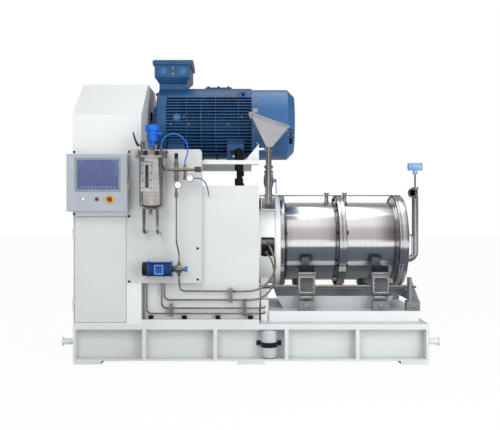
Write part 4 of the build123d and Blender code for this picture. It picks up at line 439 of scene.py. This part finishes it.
def dressCopy(nodeName, pieceName, body, choose, bevel):
    piece = soften(sortedCopy(nodeName, choose), bevel, 2, 40)
    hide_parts(nodeName)
    return finishPiece(piece, pieceName, body)


# Belts: a copy in rubber whose wraps stay round each pulley, shaded smooth
beltRun = {"low": 0.93, "high": 1.82, "smooth": 20}
driveBelts = sortedCopy("drive_belts", lambda low, high: "beltRubber")
take(driveBelts)
bpy.ops.object.shade_smooth_by_angle(angle=math.radians(beltRun["smooth"]))
driveBelts.name = "driveBelts"
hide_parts("drive_belts")
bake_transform(driveBelts)

# Hoses: smooth curves through the route's points
hoses = {
    "braidedHoseLong": {
        "nodeName": "flex_hose_long", "finishName": "steelBraid", "diameter": 0.015, "length": 0.7356,
        "points": [(-0.110, -0.515, 0.532), (-0.048, -0.515, 0.532), (0.024, -0.515, 0.535), (0.096, -0.503, 0.564),
                   (0.152, -0.483, 0.620), (0.182, -0.457, 0.692), (0.178, -0.435, 0.768), (0.152, -0.411, 0.832),
                   (0.136, -0.355, 0.864), (0.136, -0.280, 0.869), (0.136, -0.207, 0.869)],
    },
    "braidedHoseShort": {
        "nodeName": "flex_hose_short", "finishName": "steelBraid", "diameter": 0.015, "length": 0.6397,
        "points": [(-0.029, -0.515, 0.468), (0.021, -0.515, 0.468), (0.079, -0.505, 0.480), (0.133, -0.479, 0.518),
                   (0.169, -0.439, 0.576), (0.177, -0.405, 0.644), (0.167, -0.389, 0.714), (0.147, -0.379, 0.770),
                   (0.122, -0.337, 0.798), (0.122, -0.275, 0.801), (0.122, -0.215, 0.801)],
    },
    "gasHoseLine": {
        "nodeName": "gas_hose", "finishName": "airHose", "diameter": 0.009, "length": 0.4273,
        "points": [(-0.638, -0.690, 1.572), (-0.638, -0.690, 1.608), (-0.608, -0.690, 1.652),
                   (-0.556, -0.690, 1.673), (-0.504, -0.690, 1.658), (-0.460, -0.690, 1.614),
                   (-0.444, -0.690, 1.558), (-0.456, -0.690, 1.511), (-0.470, -0.690, 1.473),
                   (-0.470, -0.690, 1.447)],
    },
    "signalHoseLine": {
        "nodeName": "signal_hose", "finishName": "signalHose", "diameter": 0.008, "length": 0.2899,
        "points": [(-0.396, -0.690, 1.353), (-0.362, -0.690, 1.353), (-0.330, -0.672, 1.331),
                   (-0.314, -0.635, 1.295), (-0.310, -0.585, 1.259), (-0.310, -0.528, 1.233),
                   (-0.310, -0.490, 1.233)],
    },
}


def addHose(name, nodeName, points, diameter, length, finishName, body="root", stiffness="stiff"):
    curve = bpy.data.curves.new(name, "CURVE")
    curve.dimensions = "3D"
    curve.bevel_depth = diameter / 2
    curve.bevel_resolution = 5
    curve.resolution_u = 8
    spline = curve.splines.new("NURBS")
    spline.points.add(len(points) - 1)
    for point, place in zip(spline.points, points):
        point.co = (*place, 1.0)
    spline.order_u = 3
    spline.use_endpoint_u = True
    hose = bpy.data.objects.new(name, curve)
    bpy.context.scene.collection.objects.link(hose)
    curve.materials.append(finishes[finishName])
    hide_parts(nodeName)
    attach(hose, body)


for name, route in hoses.items():
    addHose(name, **route)
print("hoses laid")

# Operator panel: a moulded rim round a glass display, with the coloured fields of its page
operatorPanel = {"low": (-1.254, -0.677, 1.260), "high": (-0.931, -0.625, 1.498), "rim": 0.013, "step": 0.0015,
                 "sunk": 0.0025, "mask": 0.006, "maskDrop": 0.0004, "edge": 0.0018}
rim = paint(addBlock(operatorPanel["low"], operatorPanel["high"]), "bezelGrey", "displayMask", "displayGlass")
pickFront(rim)
stepIn((operatorPanel["rim"], 0), (operatorPanel["step"], -operatorPanel["sunk"]))
giveSlot(rim, 1)
stepIn((operatorPanel["mask"], -operatorPanel["maskDrop"]))
giveSlot(rim, 2)
soften(rim, operatorPanel["edge"])
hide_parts("touch_screen")
finishPiece(rim, "operatorPanel", "control_door")

# Its page: a row of keys at the foot, two bars at the top and a scroll bar at the right
page = {"side": 0.026, "ends": 0.024, "front": -0.6743, "back": -0.6739, "edge": 0.0001, "keys": 10, "shift": 0.18,
        "keyShare": 0.064, "keyTall": 0.011,
        "bars": (("left", 0.034, 0.006), ("right", 0.036, 0.006), ("right", 0.005, 0.11))}
left, bottom = operatorPanel["low"][0] + page["side"], operatorPanel["low"][2] + page["ends"]
top = operatorPanel["high"][2] - page["ends"]
width = operatorPanel["high"][0] - operatorPanel["low"][0] - 2 * page["side"]
fields = []
for k in range(page["keys"]):
    x = left + width * (k + page["shift"]) / page["keys"]
    fields.append(((x, bottom), (x + width * page["keyShare"], bottom + page["keyTall"])))
for side, reach, tall in page["bars"]:
    x = left if side == "left" else left + width - reach
    fields.append(((x, top - tall), (x + reach, top)))
screenFields = []
for low, high in fields:
    field = addBlock((low[0], page["front"], low[1]), (high[0], page["back"], high[1]))
    screenFields.append(paint(soften(field, page["edge"], 1), "pageField"))
finishPiece(joined(screenFields), "displayFields", "control_door")

# Push-buttons: chromed collars, and a mushroom on its yellow plate
buttons = {"height": 1.204, "start": -1.195, "stop": -1.099, "emergency": -1.004}
collarForm = {"y": -0.6725, "radius": 0.0152, "front": 0.0142, "length": 0.005, "rim": 0.0024, "dish": 0.0015}
collars = []
for x in (buttons["start"], buttons["stop"]):
    collar = addDrum((x, collarForm["y"], buttons["height"]), "Y", collarForm["radius"], collarForm["length"], 48,
                     collarForm["front"])
    pickFront(collar)
    stepIn((collarForm["rim"], -collarForm["dish"]))
    collars.append(paint(soften(collar, 0.0005), "hardChrome"))
finishPiece(joined(collars), "buttonCollars", "control_door")
plateForm = {"y": -0.6748, "radius": 0.0302, "length": 0.0022, "rim": 0.006, "rise": 0.0006}
plate = addDrum((buttons["emergency"], plateForm["y"], buttons["height"]), "Y", plateForm["radius"],
                plateForm["length"], 64)
pickFront(plate)
stepIn((plateForm["rim"], plateForm["rise"]))
finishPiece(paint(soften(plate, 0.0004), "stopYellow"), "emergencyPlate", "control_door")
capForm = {"y": -0.6925, "radius": 0.0185, "front": 0.0165, "length": 0.013, "crown": ((0.004, 0.003), (0.006, 0.0008)),
           "stemY": -0.674, "stem": 0.0105, "stemLength": 0.026}
cap = addDrum((buttons["emergency"], capForm["y"], buttons["height"]), "Y", capForm["radius"], capForm["length"], 48,
              capForm["front"])
pickFront(cap)
stepIn(*capForm["crown"])
stem = addDrum((buttons["emergency"], capForm["stemY"], buttons["height"]), "Y", capForm["stem"],
               capForm["stemLength"], 32)
mushroom = joined([paint(soften(cap, 0.0012, 3), "stopRed"), paint(soften(stem, 0.0006), "blackGrip")])
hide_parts("emergency_stop")
finishPiece(mushroom, "emergencyMushroom", "emergency_stop")

# Control door: machined hinges and locks on the enclosure's sheet, with a raised rim
doorForm = {"hinge": 0.02, "lock": 0.006, "low": (-1.3155, -0.6722, 1.1175), "high": (-0.8835, -0.6695, 1.5245),
            "rim": 0.011, "step": 0.0016, "sunk": 0.002}


def doorFinish(low, high):
    if high.x - low.x < doorForm["hinge"]:
        return "machinedFitting"
    return "hardChrome" if high.y - low.y < doorForm["lock"] else "powderCoatControl"


dressCopy("control_door", "controlDoorDressed", "control_door", doorFinish, 0.001)
doorRim = addBlock(doorForm["low"], doorForm["high"])
pickFront(doorRim)
stepIn((doorForm["rim"], 0), (doorForm["step"], -doorForm["sunk"]))
finishPiece(paint(soften(doorRim, 0.0009), "powderCoatControl"), "doorRim", "control_door")
print("operator panel made")

# Seal pot: the shell, lid and bolts keep their forms, and the window plate has its dark glass
potForm = {"plateTall": 0.19, "plateThin": 0.012, "boltWide": 0.026, "boltTall": 0.02, "screwThin": 0.006,
           "outletTall": 0.18, "outletTop": 1.13}


def potFinish(low, high):
    size = high - low
    if size.z > potForm["plateTall"] and size.y < potForm["plateThin"]:
        return "satinPlate"
    if size.x < potForm["boltWide"] and size.z < potForm["boltTall"]:
        return "blackOxide" if size.y < potForm["screwThin"] else "turnedStainless"
    return "drawnTube" if size.z < potForm["outletTall"] and low.z < potForm["outletTop"] else "potStainless"


dressCopy("seal_pot", "sealPotDressed", "root", potFinish, 0.001)
sightGlass = {"x": -0.724, "face": -0.8005, "thick": 0.002, "low": 1.279, "high": 1.439, "half": 0.0108}
glass = addBlock((sightGlass["x"] - sightGlass["half"], sightGlass["face"], sightGlass["low"]),
                 (sightGlass["x"] + sightGlass["half"], sightGlass["face"] + sightGlass["thick"], sightGlass["high"]))
finishPiece(paint(soften(glass, 0.0009), "levelGlass"), "levelWindow", "root")

# Gauges: a rolled bezel, a white dial with its marks, and a needle
gauges = {"radius": 0.027, "bezel": 0.0024, "bezelRise": 0.0005, "dialGap": 0.003, "dialRise": 0.0004,
          "dialThick": 0.001, "marks": 11, "start": -135, "sweep": 270,
          "mark": ((-0.0006, -0.0003, 0.0165), (0.0006, 0.0002, 0.0205)), "markRise": 0.0012,
          "needle": ((-0.0008, -0.0004, -0.006), (0.0008, 0.0002, 0.017)), "needleRise": 0.0016,
          "places": ((-0.433, -0.708, 1.353, 0.35), (-0.516, -0.726, 1.303, 0.55))}


def addPointer(corners, place, degrees):  # a mark or needle, turned round the dial
    pointer = addBlock(*corners)
    turn = Matrix.Rotation(math.radians(degrees), 4, "Y")
    pointer.data.transform(Matrix.Translation(place) @ turn)
    return paint(pointer, "blackGrip")


dials = []
for x, face, z, reading in gauges["places"]:
    dial = addDrum((x, face - gauges["dialRise"], z), "Y", gauges["radius"] - gauges["dialGap"],
                   gauges["dialThick"], 48)
    dials.append(paint(soften(dial, 0.0002, 1), "dialWhite"))
    bezel = addRing((x, face - gauges["bezelRise"], z), "Y", gauges["radius"] - gauges["bezel"], gauges["bezel"])
    dials.append(paint(bezel, "hardChrome"))
    for k in range(gauges["marks"]):
        degrees = gauges["start"] + gauges["sweep"] * k / (gauges["marks"] - 1)
        dials.append(addPointer(gauges["mark"], (x, face - gauges["markRise"], z), degrees))
    degrees = gauges["start"] + gauges["sweep"] * reading
    dials.append(addPointer(gauges["needle"], (x, face - gauges["needleRise"], z), degrees))
finishPiece(joined(dials), "gaugeDials", "root")
print("pot and gauges dressed")

# Pump, vessel, probe and brackets: a solid's place or height tells its finish
dressForm = {"fanEnd": -0.73, "headEnd": -0.48, "strapTall": 0.06, "probeLow": 1.4, "probeTop": 1.44, "padTop": 0.655,
             "padTall": 0.05, "barTall": 0.03}


def probeFinish(low, high):
    blue = high.z > dressForm["probeTop"] and low.z > dressForm["probeLow"]
    return "probeEnamel" if blue else "turnedStainless"


def bracketFinish(low, high):
    tall = (high - low).z
    if high.z > dressForm["padTop"] and tall < dressForm["padTall"]:
        return "padRubber"
    return "groundSteel" if tall < dressForm["barTall"] else "powderCoatBracket"


dressCopy("pump_motor", "pumpMotorDressed", "root",
          lambda low, high: "fanCover" if high.x < dressForm["fanEnd"] else "pumpEnamel", 0.0012)
dressCopy("pump_head", "pumpHeadDressed", "root",
          lambda low, high: "transmitterEnamel" if low.x > dressForm["headEnd"] else "machinedFitting", 0.001)
dressCopy("accumulator", "accumulatorDressed", "root",
          lambda low, high: "strapBlack" if high.z - low.z < dressForm["strapTall"] else "vesselEnamel", 0.0012)
dressCopy("temperature_probe", "probeDressed", "screen_cartridge", probeFinish, 0.001)
dressCopy("chamber_brackets", "bracketsDressed", "root", bracketFinish, 0.0015)
print("pump, brackets and accumulator dressed")

# Fasteners and panels: a hexagon or a round head with a chamfered face, and a plate with a raised rim
headForm = {"rim": 0.16, "rise": 0.1, "edge": 0.03}  # shares of its size
panelForm = {"slope": 0.6, "edge": 0.001}


def addHead(middle, axis, across, length, finishName, sides=6):
    head = addDrum(middle, axis, across / 2, length, sides)
    pickEnds(head, axis)
    stepIn((across * headForm["rim"], length * headForm["rise"]))
    return paint(soften(head, across * headForm["edge"], 1), finishName)


def addPanel(low, high, rim, drop, rimFinish, faceFinish):  # the rim stands at the front
    plate = paint(addBlock(low, high), rimFinish, faceFinish)
    pickFront(plate)
    stepIn((rim, 0), (drop * panelForm["slope"], -drop))
    giveSlot(plate, 1)
    return soften(plate, panelForm["edge"])


# Motor: webs that tie the fins, the drain plug, earthing pad, shield bolts and the top plate
motor = {"axis": 1.815, "fins": 0.290, "webs": (-0.497, -0.385, -0.273, -0.096), "webRadius": 0.282, "web": 0.009,
         "screws": ((-0.514, 1.841), (-0.385, 1.841), (-0.070, 1.841), (-0.615, 1.787), (-0.477, 1.787),
                    (-0.178, 1.787)),
         "plug": (-0.568, 1.836), "earthPad": ((-0.099, -0.216, 2.004), (-0.022, -0.165, 2.052)),
         "earthScrew": (-0.0605, -0.2175, 2.028), "shield": -0.742, "shieldCircle": 0.25, "shieldBolts": 8,
         "shieldTurn": 45, "cowlScrews": (0.05, 0.225, (1.984, 1.646)),
         "topPlate": ((-0.365, -0.045, 2.095), (-0.155, 0.045, 2.113)),
         "topScrews": ((-0.34, -0.028, 2.116), (-0.26, -0.028, 2.116), (-0.18, -0.028, 2.116))}


def finFront(z):  # the front of the round frame at a height
    return -math.sqrt(motor["fins"] ** 2 - (z - motor["axis"]) ** 2)


webs = []
for x in motor["webs"]:
    web = addDrum((x, 0, motor["axis"]), "X", motor["webRadius"], motor["web"], 96)
    webs.append(paint(soften(web, 0.001, 1), "motorEnamel"))
finishPiece(joined(webs), "finWebs", "motor_carriage")
motorBits = [addHead((x, finFront(z) + 0.001, z), "Y", 0.02, 0.014, "plugEnamel", 12) for x, z in motor["screws"]]
x, z = motor["plug"]
motorBits.append(addHead((x, finFront(z) - 0.001, z), "Y", 0.07, 0.014, "motorEnamel", 32))
motorBits.append(addHead((x, finFront(z) - 0.013, z), "Y", 0.058, 0.022, "plugEnamel", 4))
motorBits.append(addPanel(*motor["earthPad"], 0.007, 0.003, "plugEnamel", "cowlEnamel"))
motorBits.append(addHead(motor["earthScrew"], "Y", 0.024, 0.012, "blackOxide"))
for k in range(motor["shieldBolts"]):
    turn = math.radians(motor["shieldTurn"] * (k + 0.5))
    spot = (motor["shield"], motor["shieldCircle"] * math.cos(turn),
            motor["axis"] + motor["shieldCircle"] * math.sin(turn))
    motorBits.append(addHead(spot, "X", 0.03, 0.018, "plugEnamel"))
x, y, heights = motor["cowlScrews"]
for side in (-1, 1):
    for z in heights:
        motorBits.append(addHead((x, side * y, z), "Y", 0.018, 0.012, "zincScrew", 20))
motorBits.append(addPanel(*motor["topPlate"], 0.004, 0.001, "motorEnamel", "motorEnamel"))
for spot in motor["topScrews"]:
    motorBits.append(addHead(spot, "Z", 0.024, 0.012, "blackOxide"))
finishPiece(joined(motorBits), "motorFasteners", "motor_carriage")

# Foot recesses: pockets in the feet, their faces black with painted shade
footPockets = {"centres": (-0.60, -0.12), "half": 0.052, "front": -0.2565, "back": -0.2495, "low": 1.545,
               "high": 1.603, "rim": 0.009, "drop": 0.004}
pockets = []
# Painted shade: each pocket's face takes black where the recess is only shaded
for x in footPockets["centres"]:
    pockets.append(addPanel((x - footPockets["half"], footPockets["front"], footPockets["low"]),
                            (x + footPockets["half"], footPockets["back"], footPockets["high"]),
                            footPockets["rim"], footPockets["drop"], "motorEnamel", "fanCover"))
finishPiece(joined(pockets), "footRecesses", "motor_carriage")

# Terminal box: two closed cable entries with two screws between them, and lid screws
terminalBox = {"front": -0.165, "height": 2.219, "entries": (-0.688, -0.532), "boss": 0.036, "bossFront": 0.0345,
               "bossLength": 0.012, "steps": ((0.005, 0), (0.002, -0.005), (0.008, 0.003), (0.010, 0.0015)),
               "screwX": -0.61, "screws": (2.241, 2.197), "lidScrews": (-0.755, -0.478), "lidSide": 0.181,
               "lidHeight": 2.284}
entries = []
for x in terminalBox["entries"]:
    boss = addDrum((x, terminalBox["front"] - 0.002, terminalBox["height"]), "Y", terminalBox["boss"],
                   terminalBox["bossLength"], 48, terminalBox["bossFront"])
    pickFront(boss)
    stepIn(*terminalBox["steps"])
    entries.append(paint(soften(boss, 0.0008, 2, 25), "plugEnamel"))
for z in terminalBox["screws"]:
    spot = (terminalBox["screwX"], terminalBox["front"] - 0.003, z)
    entries.append(addHead(spot, "Y", 0.018, 0.010, "zincScrew", 20))
for x in terminalBox["lidScrews"]:
    for side in (-1, 1):
        spot = (x, side * terminalBox["lidSide"], terminalBox["lidHeight"])
        entries.append(addHead(spot, "Y", 0.016, 0.008, "plugEnamel", 16))
finishPiece(joined(entries), "terminalEntries", "motor_carriage")
print("motor fittings made")

# Hopper: the lid's hinge strap and its hanging catch, and the folded rim of the front
hopper = {"rimLow": (-0.147, -0.0015, -0.009), "rimHigh": (0.147, 0.0015, 0), "rimPlace": (0.1225, -0.5618, 1.785),
          "rimRun": 0.277, "rimDrop": 0.099, "strap": ((0.010, -0.5668, 1.838), (0.05, -0.5608, 1.866)),
          "catch": (0.297, -0.436), "links": ((1.712, "Y", 0.013, 0.0032), (1.690, "X", 0.012, 0.0032),
                                              (1.668, "Y", 0.013, 0.0036)),
          "weight": 1.642, "arm": ((0.276, -0.444, 1.728), (0.304, -0.428, 1.734))}
catchBits = [addPanel(*hopper["strap"], 0.004, 0.001, "zincScrew", "zincScrew")]
for z, axis, radius, wire in hopper["links"]:
    catchBits.append(paint(addRing((*hopper["catch"], z), axis, radius, wire, 32), "blackOxide"))
catchBits.append(addHead((*hopper["catch"], hopper["weight"]), "Z", 0.026, 0.034, "blackOxide", 16))
catchBits.append(paint(soften(addBlock(*hopper["arm"]), 0.001), "blackOxide"))
finishPiece(joined(catchBits), "lidCatch", "hopper_lid")
hopperRim = addBlock(hopper["rimLow"], hopper["rimHigh"])
slope = Matrix.Rotation(math.atan2(hopper["rimDrop"], hopper["rimRun"]), 4, "Y")
hopperRim.data.transform(Matrix.Translation(hopper["rimPlace"]) @ slope)
finishPiece(paint(soften(hopperRim, 0.001), "brightEdge"), "hopperRim", "root")

# Chamber: jacket sections and rings turned from the bar, their screws, and thin black rings of painted shadow in the
# gaps beside the rings
chamber = {"axis": 0.885, "joint": 0.7015, "left": 0.258, "right": 1.132, "gap": 0.0006, "radius": 0.305,
           "wall": 0.008, "nozzles": (0.610, 0.755), "nozzleBore": 0.009,
           "nozzleParts": ((1.227, 0.0145, 0.082), (1.2655, 0.0215, 0.009), (1.194, 0.019, 0.012))}
ringForm = {"radius": 0.359, "grooveWide": 0.006, "groove": 0.003, "edge": 0.0015, "boltCircle": 0.335,
            "bolts": 8, "firstBolt": 167, "boltFaces": (0.264, 0.735, 0.668), "boltAcross": 0.0277, "boltLength": 0.012,
            "rows": ((0.225, 0.258, 0.263), (0.674, 0.700, 0.3055), (0.703, 0.729, 0.3055), (0.699, 0.704, 0.3055),
                     (1.132, 1.149, 0.2455), (1.148, 1.153, 0.2455), (1.152, 1.200, 0.2455)),
            "wire": ((0.63, -0.045, 1.2465), 0.0045, 1.13), "shadowGapRings": (0.6735, 1.1315, 0.2585),
            "shadowGapRingRadius": 0.3535, "shadowGapRingWire": 0.0052}


def addTube(middle, axis, radius, bore, length, sides=160):  # a drum bored right through
    tube = addDrum(middle, axis, radius, length, sides)
    pickEnds(tube, axis)
    stepIn((radius - bore, 0))
    bpy.ops.mesh.bridge_edge_loops()
    bpy.ops.object.mode_set(mode="OBJECT")
    return tube


sections = []
for low, high in ((chamber["left"], chamber["joint"]), (chamber["joint"], chamber["right"])):
    shell = addTube(((low + high) / 2, 0, chamber["axis"]), "X", chamber["radius"],
                    chamber["radius"] - chamber["wall"], high - low - chamber["gap"])
    sections.append(paint(soften(shell, 0.0008), "polishedStainless"))
for x in chamber["nozzles"]:
    for middle, radius, length in chamber["nozzleParts"]:
        stub = addTube((x, 0, middle), "Z", radius, chamber["nozzleBore"], length, 40)
        sections.append(paint(soften(stub, 0.0008), "turnedStainless"))
jacket = joined(sections)
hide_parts("chamber_jacket")
finishPiece(jacket, "jacketShells", "root")

rings = []
for low, high, bore in ringForm["rows"]:  # a narrow row is the groove between two rings
    groove = ringForm["groove"] if high - low < ringForm["grooveWide"] else 0
    ring = addTube(((low + high) / 2, 0, chamber["axis"]), "X", ringForm["radius"] - groove, bore, high - low)
    rings.append(paint(ring if groove else soften(ring, ringForm["edge"]), "turnedRing"))
spots = []
for k in range(ringForm["bolts"]):
    turn = math.radians(ringForm["firstBolt"] + k * 360 / ringForm["bolts"])
    y, z = ringForm["boltCircle"] * math.cos(turn), chamber["axis"] + ringForm["boltCircle"] * math.sin(turn)
    spots += [Vector((x, y, z)) for x in ringForm["boltFaces"]]
rings += copies(addHead((0, 0, 0), "X", ringForm["boltAcross"], ringForm["boltLength"], "blackOxide"), spots)
middle, radius, length = ringForm["wire"]
rings.append(paint(soften(addDrum(middle, "X", radius, length, 16), 0.0008, 1), "groundSteel"))
ringSet = joined(rings)
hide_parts("clamp_rings")
finishPiece(ringSet, "clampRingSet", "root")
# Painted shadow: black tori stand in for the shade in the gap between the jacket and each ring
shadowGapRings = []
for x in ringForm["shadowGapRings"]:
    shadowGapRing = addRing((x, 0, chamber["axis"]), "X", ringForm["shadowGapRingRadius"], ringForm["shadowGapRingWire"], 160)
    shadowGapRings.append(paint(shadowGapRing, "shadowGapBlack"))
finishPiece(joined(shadowGapRings), "ringShadowGaps", "root")

# Brackets: framed cheek plates with their screws, rollers below and above, and a bolt in each foot
brackets = {"face": -0.410, "starts": (0.352, 0.908), "plate": (0.500, 0.632), "ends": (0.004, 0.130),
            "rim": 0.011, "drop": 0.004, "rows": 4, "rowEdge": 0.02, "columns": (0.022, 0.112), "middle": 0.067,
            "rollerBack": 0.012, "rollerStep": (0.004, 0.001),
            "rollers": ((0.4725, 0.0165, 0.104), (0.650, 0.014, 0.118)), "foot": 0.406, "endFoot": 1.218}


def addFootBolt(x, washer, head):
    return [addHead((x, brackets["face"] - 0.002, brackets["foot"]), "Y", washer, 0.005, "zincScrew", 32),
            addHead((x, brackets["face"] - 0.009, brackets["foot"]), "Y", head, 0.014, "zincScrew")]


def addBracketFaces():
    bits = []
    low, high = brackets["plate"]
    for x in brackets["starts"]:
        bits.append(addPanel((x + brackets["ends"][0], brackets["face"] - 0.006, low),
                             (x + brackets["ends"][1], brackets["face"] + 0.002, high),
                             brackets["rim"], brackets["drop"], "brightEdge", "burnishedSteel"))
        for k in range(brackets["rows"]):
            z = low + brackets["rowEdge"] + (high - low - 2 * brackets["rowEdge"]) * k / (brackets["rows"] - 1)
            for column in brackets["columns"]:
                bits.append(addHead((x + column, brackets["face"] - 0.003, z), "Y", 0.010, 0.006, "zincScrew", 12))
        for z, radius, length in brackets["rollers"]:
            roller = addDrum((x + brackets["middle"], brackets["face"] + brackets["rollerBack"], z), "X", radius,
                             length, 32)
            pickEnds(roller, "X")
            stepIn(brackets["rollerStep"])
            bits.append(paint(soften(roller, 0.0015), "brightEdge"))
        bits += addFootBolt(x + brackets["middle"], 0.044, 0.030)
    return joined(bits + addFootBolt(brackets["endFoot"], 0.040, 0.028))


finishPiece(addBracketFaces(), "frontBracketFaces", "root")
backFaces = addBracketFaces()
backFaces.data.transform(Matrix.Scale(-1, 4, (0, 1, 0)))
backFaces.data.flip_normals()
finishPiece(backFaces, "backBracketFaces", "root")

# Pump: the lid of its terminal box with its screws
pumpLid = {"low": (-0.685, -0.7262, 0.669), "high": (-0.619, -0.7205, 0.739), "rim": 0.008, "drop": 0.003,
           "screwY": -0.7272, "screwX": (-0.680, -0.624), "screwZ": (0.674, 0.734)}
pumpBits = [addPanel(pumpLid["low"], pumpLid["high"], pumpLid["rim"], pumpLid["drop"], "pumpCover", "pumpEnamel")]
for x in pumpLid["screwX"]:
    for z in pumpLid["screwZ"]:
        pumpBits.append(addHead((x, pumpLid["screwY"], z), "Y", 0.007, 0.004, "zincScrew", 12))
finishPiece(joined(pumpBits), "pumpTerminalLid", "root")
print("fittings made")

# Camera, at the photograph's eye height and distance
camera = {"place": (-0.007, -5.75, 1.091), "lens": 51.3, "sensor": 36}
bpy.ops.object.camera_add(location=camera["place"], rotation=(math.radians(90), 0, 0))
bpy.context.object.data.lens = camera["lens"]
bpy.context.object.data.sensor_width = camera["sensor"]
bpy.context.scene.camera = bpy.context.object


def mixShaders(tree, factor, first, second):
    return addNode(tree, "ShaderNodeMixShader", {}, [(0, factor), (1, first), (2, second)]).outputs["Shader"]


# Floor: pale to the camera, and in bright steel a band of paper with a darker studio floor
studio = {"size": 60, "drop": 0.0005, "shine": 0.95, "paper": (-4.0, 0.0), "room": 0.46, "turn": (-0.25, 0.15)}
bpy.ops.mesh.primitive_plane_add(size=studio["size"], location=(0, 0, -studio["drop"]))
floor = bpy.context.object
floor.name = "floor"
floorPaint, tree, shader, place = newMaterial("floorPaint", {
    "Roughness": 0.9, "Specular IOR Level": 0.1, "Base Color": linearColour("F4F4F4")})
path = addNode(tree, "ShaderNodeLightPath", {})
glow = addNode(tree, "ShaderNodeEmission", {"Color": linearColour("FFFFFF"), "Strength": 1.0})
seen = addNode(tree, "ShaderNodeMath", {"operation": "MULTIPLY", 1: studio["shine"]},
               [(0, path.outputs["Is Camera Ray"])])
depth = addNode(tree, "ShaderNodeSeparateXYZ", {}, [("Vector", place)])
paper = addNode(tree, "ShaderNodeMapRange", {"From Min": studio["paper"][0], "From Max": studio["paper"][1]},
                [("Value", depth.outputs["Y"])])
band = addRamp(tree, paper.outputs["Result"], (0, "FFFFFF"), (0.14, "FFFFFF"), (0.24, "6E747E"), (0.93, "5C626C"),
               (0.97, "C0C0C0"), (1, "B8BABD"))
reflection = addNode(tree, "ShaderNodeEmission", {"Strength": 1.0}, [("Color", band)])
mirrored = mixShaders(tree, path.outputs["Is Glossy Ray"], shader.outputs["BSDF"], reflection.outputs["Emission"])
mix = mixShaders(tree, seen.outputs["Value"], mirrored, glow.outputs["Emission"])
output = [n for n in tree.nodes if n.bl_idname == "ShaderNodeOutputMaterial"][0]
tree.links.new(mix, output.inputs["Surface"])
floor.data.materials.append(floorPaint)

# World: white to the camera, an even room for light, and a toned room that only steel reflects
world = bpy.data.worlds.new("studioRoom")
bpy.context.scene.world = world
world.use_nodes = True
tree = world.node_tree
tree.nodes.clear()
path = addNode(tree, "ShaderNodeLightPath", {})
direction = addNode(tree, "ShaderNodeTexCoord", {}).outputs["Generated"]
axes = addNode(tree, "ShaderNodeSeparateXYZ", {}, [("Vector", direction)])
plain = addNode(tree, "ShaderNodeBackground", {"Color": linearColour("FFFFFF"), "Strength": studio["room"]})
white = addNode(tree, "ShaderNodeBackground", {"Color": linearColour("FFFFFF"), "Strength": 1.0})
# Behind the camera the room is darker, with a bright strip at eye level and a bright ceiling
behind = addRamp(tree, axes.outputs["Z"], (0, "FFFFFF"), (0.05, "FFFFFF"), (0.08, "C9C4C4"), (0.45, "CFCACA"),
                 (0.62, "DCD8D8"), (0.76, "FFFFFF"), (1, "FFFFFF"))
overhead = addRamp(tree, axes.outputs["Z"], (0, "C8C8C8"), (0.3, "ABA8AA"), (0.8, "A19EA0"), (0.88, "F6F6F6"),
                   (1, "FFFFFF"))
frontness = addNode(tree, "ShaderNodeMapRange", {"From Min": studio["turn"][0], "From Max": studio["turn"][1]},
                    [("Value", axes.outputs["Y"])])
room = addNode(tree, "ShaderNodeMix", {"data_type": "RGBA"},
               [(0, frontness.outputs["Result"]), (6, behind), (7, overhead)])
# Dark flags stand left and right, so upright pipes show dark edges
sideways = addNode(tree, "ShaderNodeMath", {"operation": "ABSOLUTE"}, [(0, axes.outputs["X"])])
flags = addRamp(tree, sideways.outputs["Value"], (0, "FFFFFF"), (0.3, "FFFFFF"), (0.42, "6A6664"), (0.74, "4C4A4A"),
                (0.86, "BDBDBD"), (1, "B0B0B0"))
shaded = addNode(tree, "ShaderNodeMix", {"data_type": "RGBA", "blend_type": "MULTIPLY", 0: 1.0},
                 [(6, room.outputs[2]), (7, flags)])
reflected = addNode(tree, "ShaderNodeBackground", {"Strength": 1.0}, [("Color", shaded.outputs[2])])
lit = mixShaders(tree, path.outputs["Is Glossy Ray"], plain.outputs[0], reflected.outputs[0])
sharp = addNode(tree, "ShaderNodeMath", {"operation": "MAXIMUM"},
                [(0, path.outputs["Is Camera Ray"]), (1, path.outputs["Is Transmission Ray"])])
seenRoom = mixShaders(tree, sharp.outputs["Value"], lit, white.outputs[0])
addNode(tree, "ShaderNodeOutputWorld", {}, [("Surface", seenRoom)])

# Lamps: place, size and power. Steel shows the top lamp only
lamps = {
    "keyLamp": ((-1.3, -5.0, 3.4), 2.6, 96),
    "fillLamp": ((3.0, -4.6, 2.4), 3.0, 78),
    "topLamp": ((0.3, 0.2, 5.0), 3.4, 36),
    "lowLamp": ((2.0, -3.9, 0.75), 1.4, 26),
}
aimPoint = Vector((0, 0, 1.0))
for name, (spot, size, power) in lamps.items():
    bpy.ops.object.light_add(type="AREA", location=spot)
    lamp = bpy.context.object
    lamp.name = name
    lamp.data.size = size
    lamp.data.energy = power
    lamp.visible_glossy = name == "topLamp"
    lamp.rotation_euler = (aimPoint - Vector(spot)).to_track_quat("-Z", "Y").to_euler()
bpy.context.scene.view_settings.view_transform = "Standard"
print("camera, floor and lamps set")
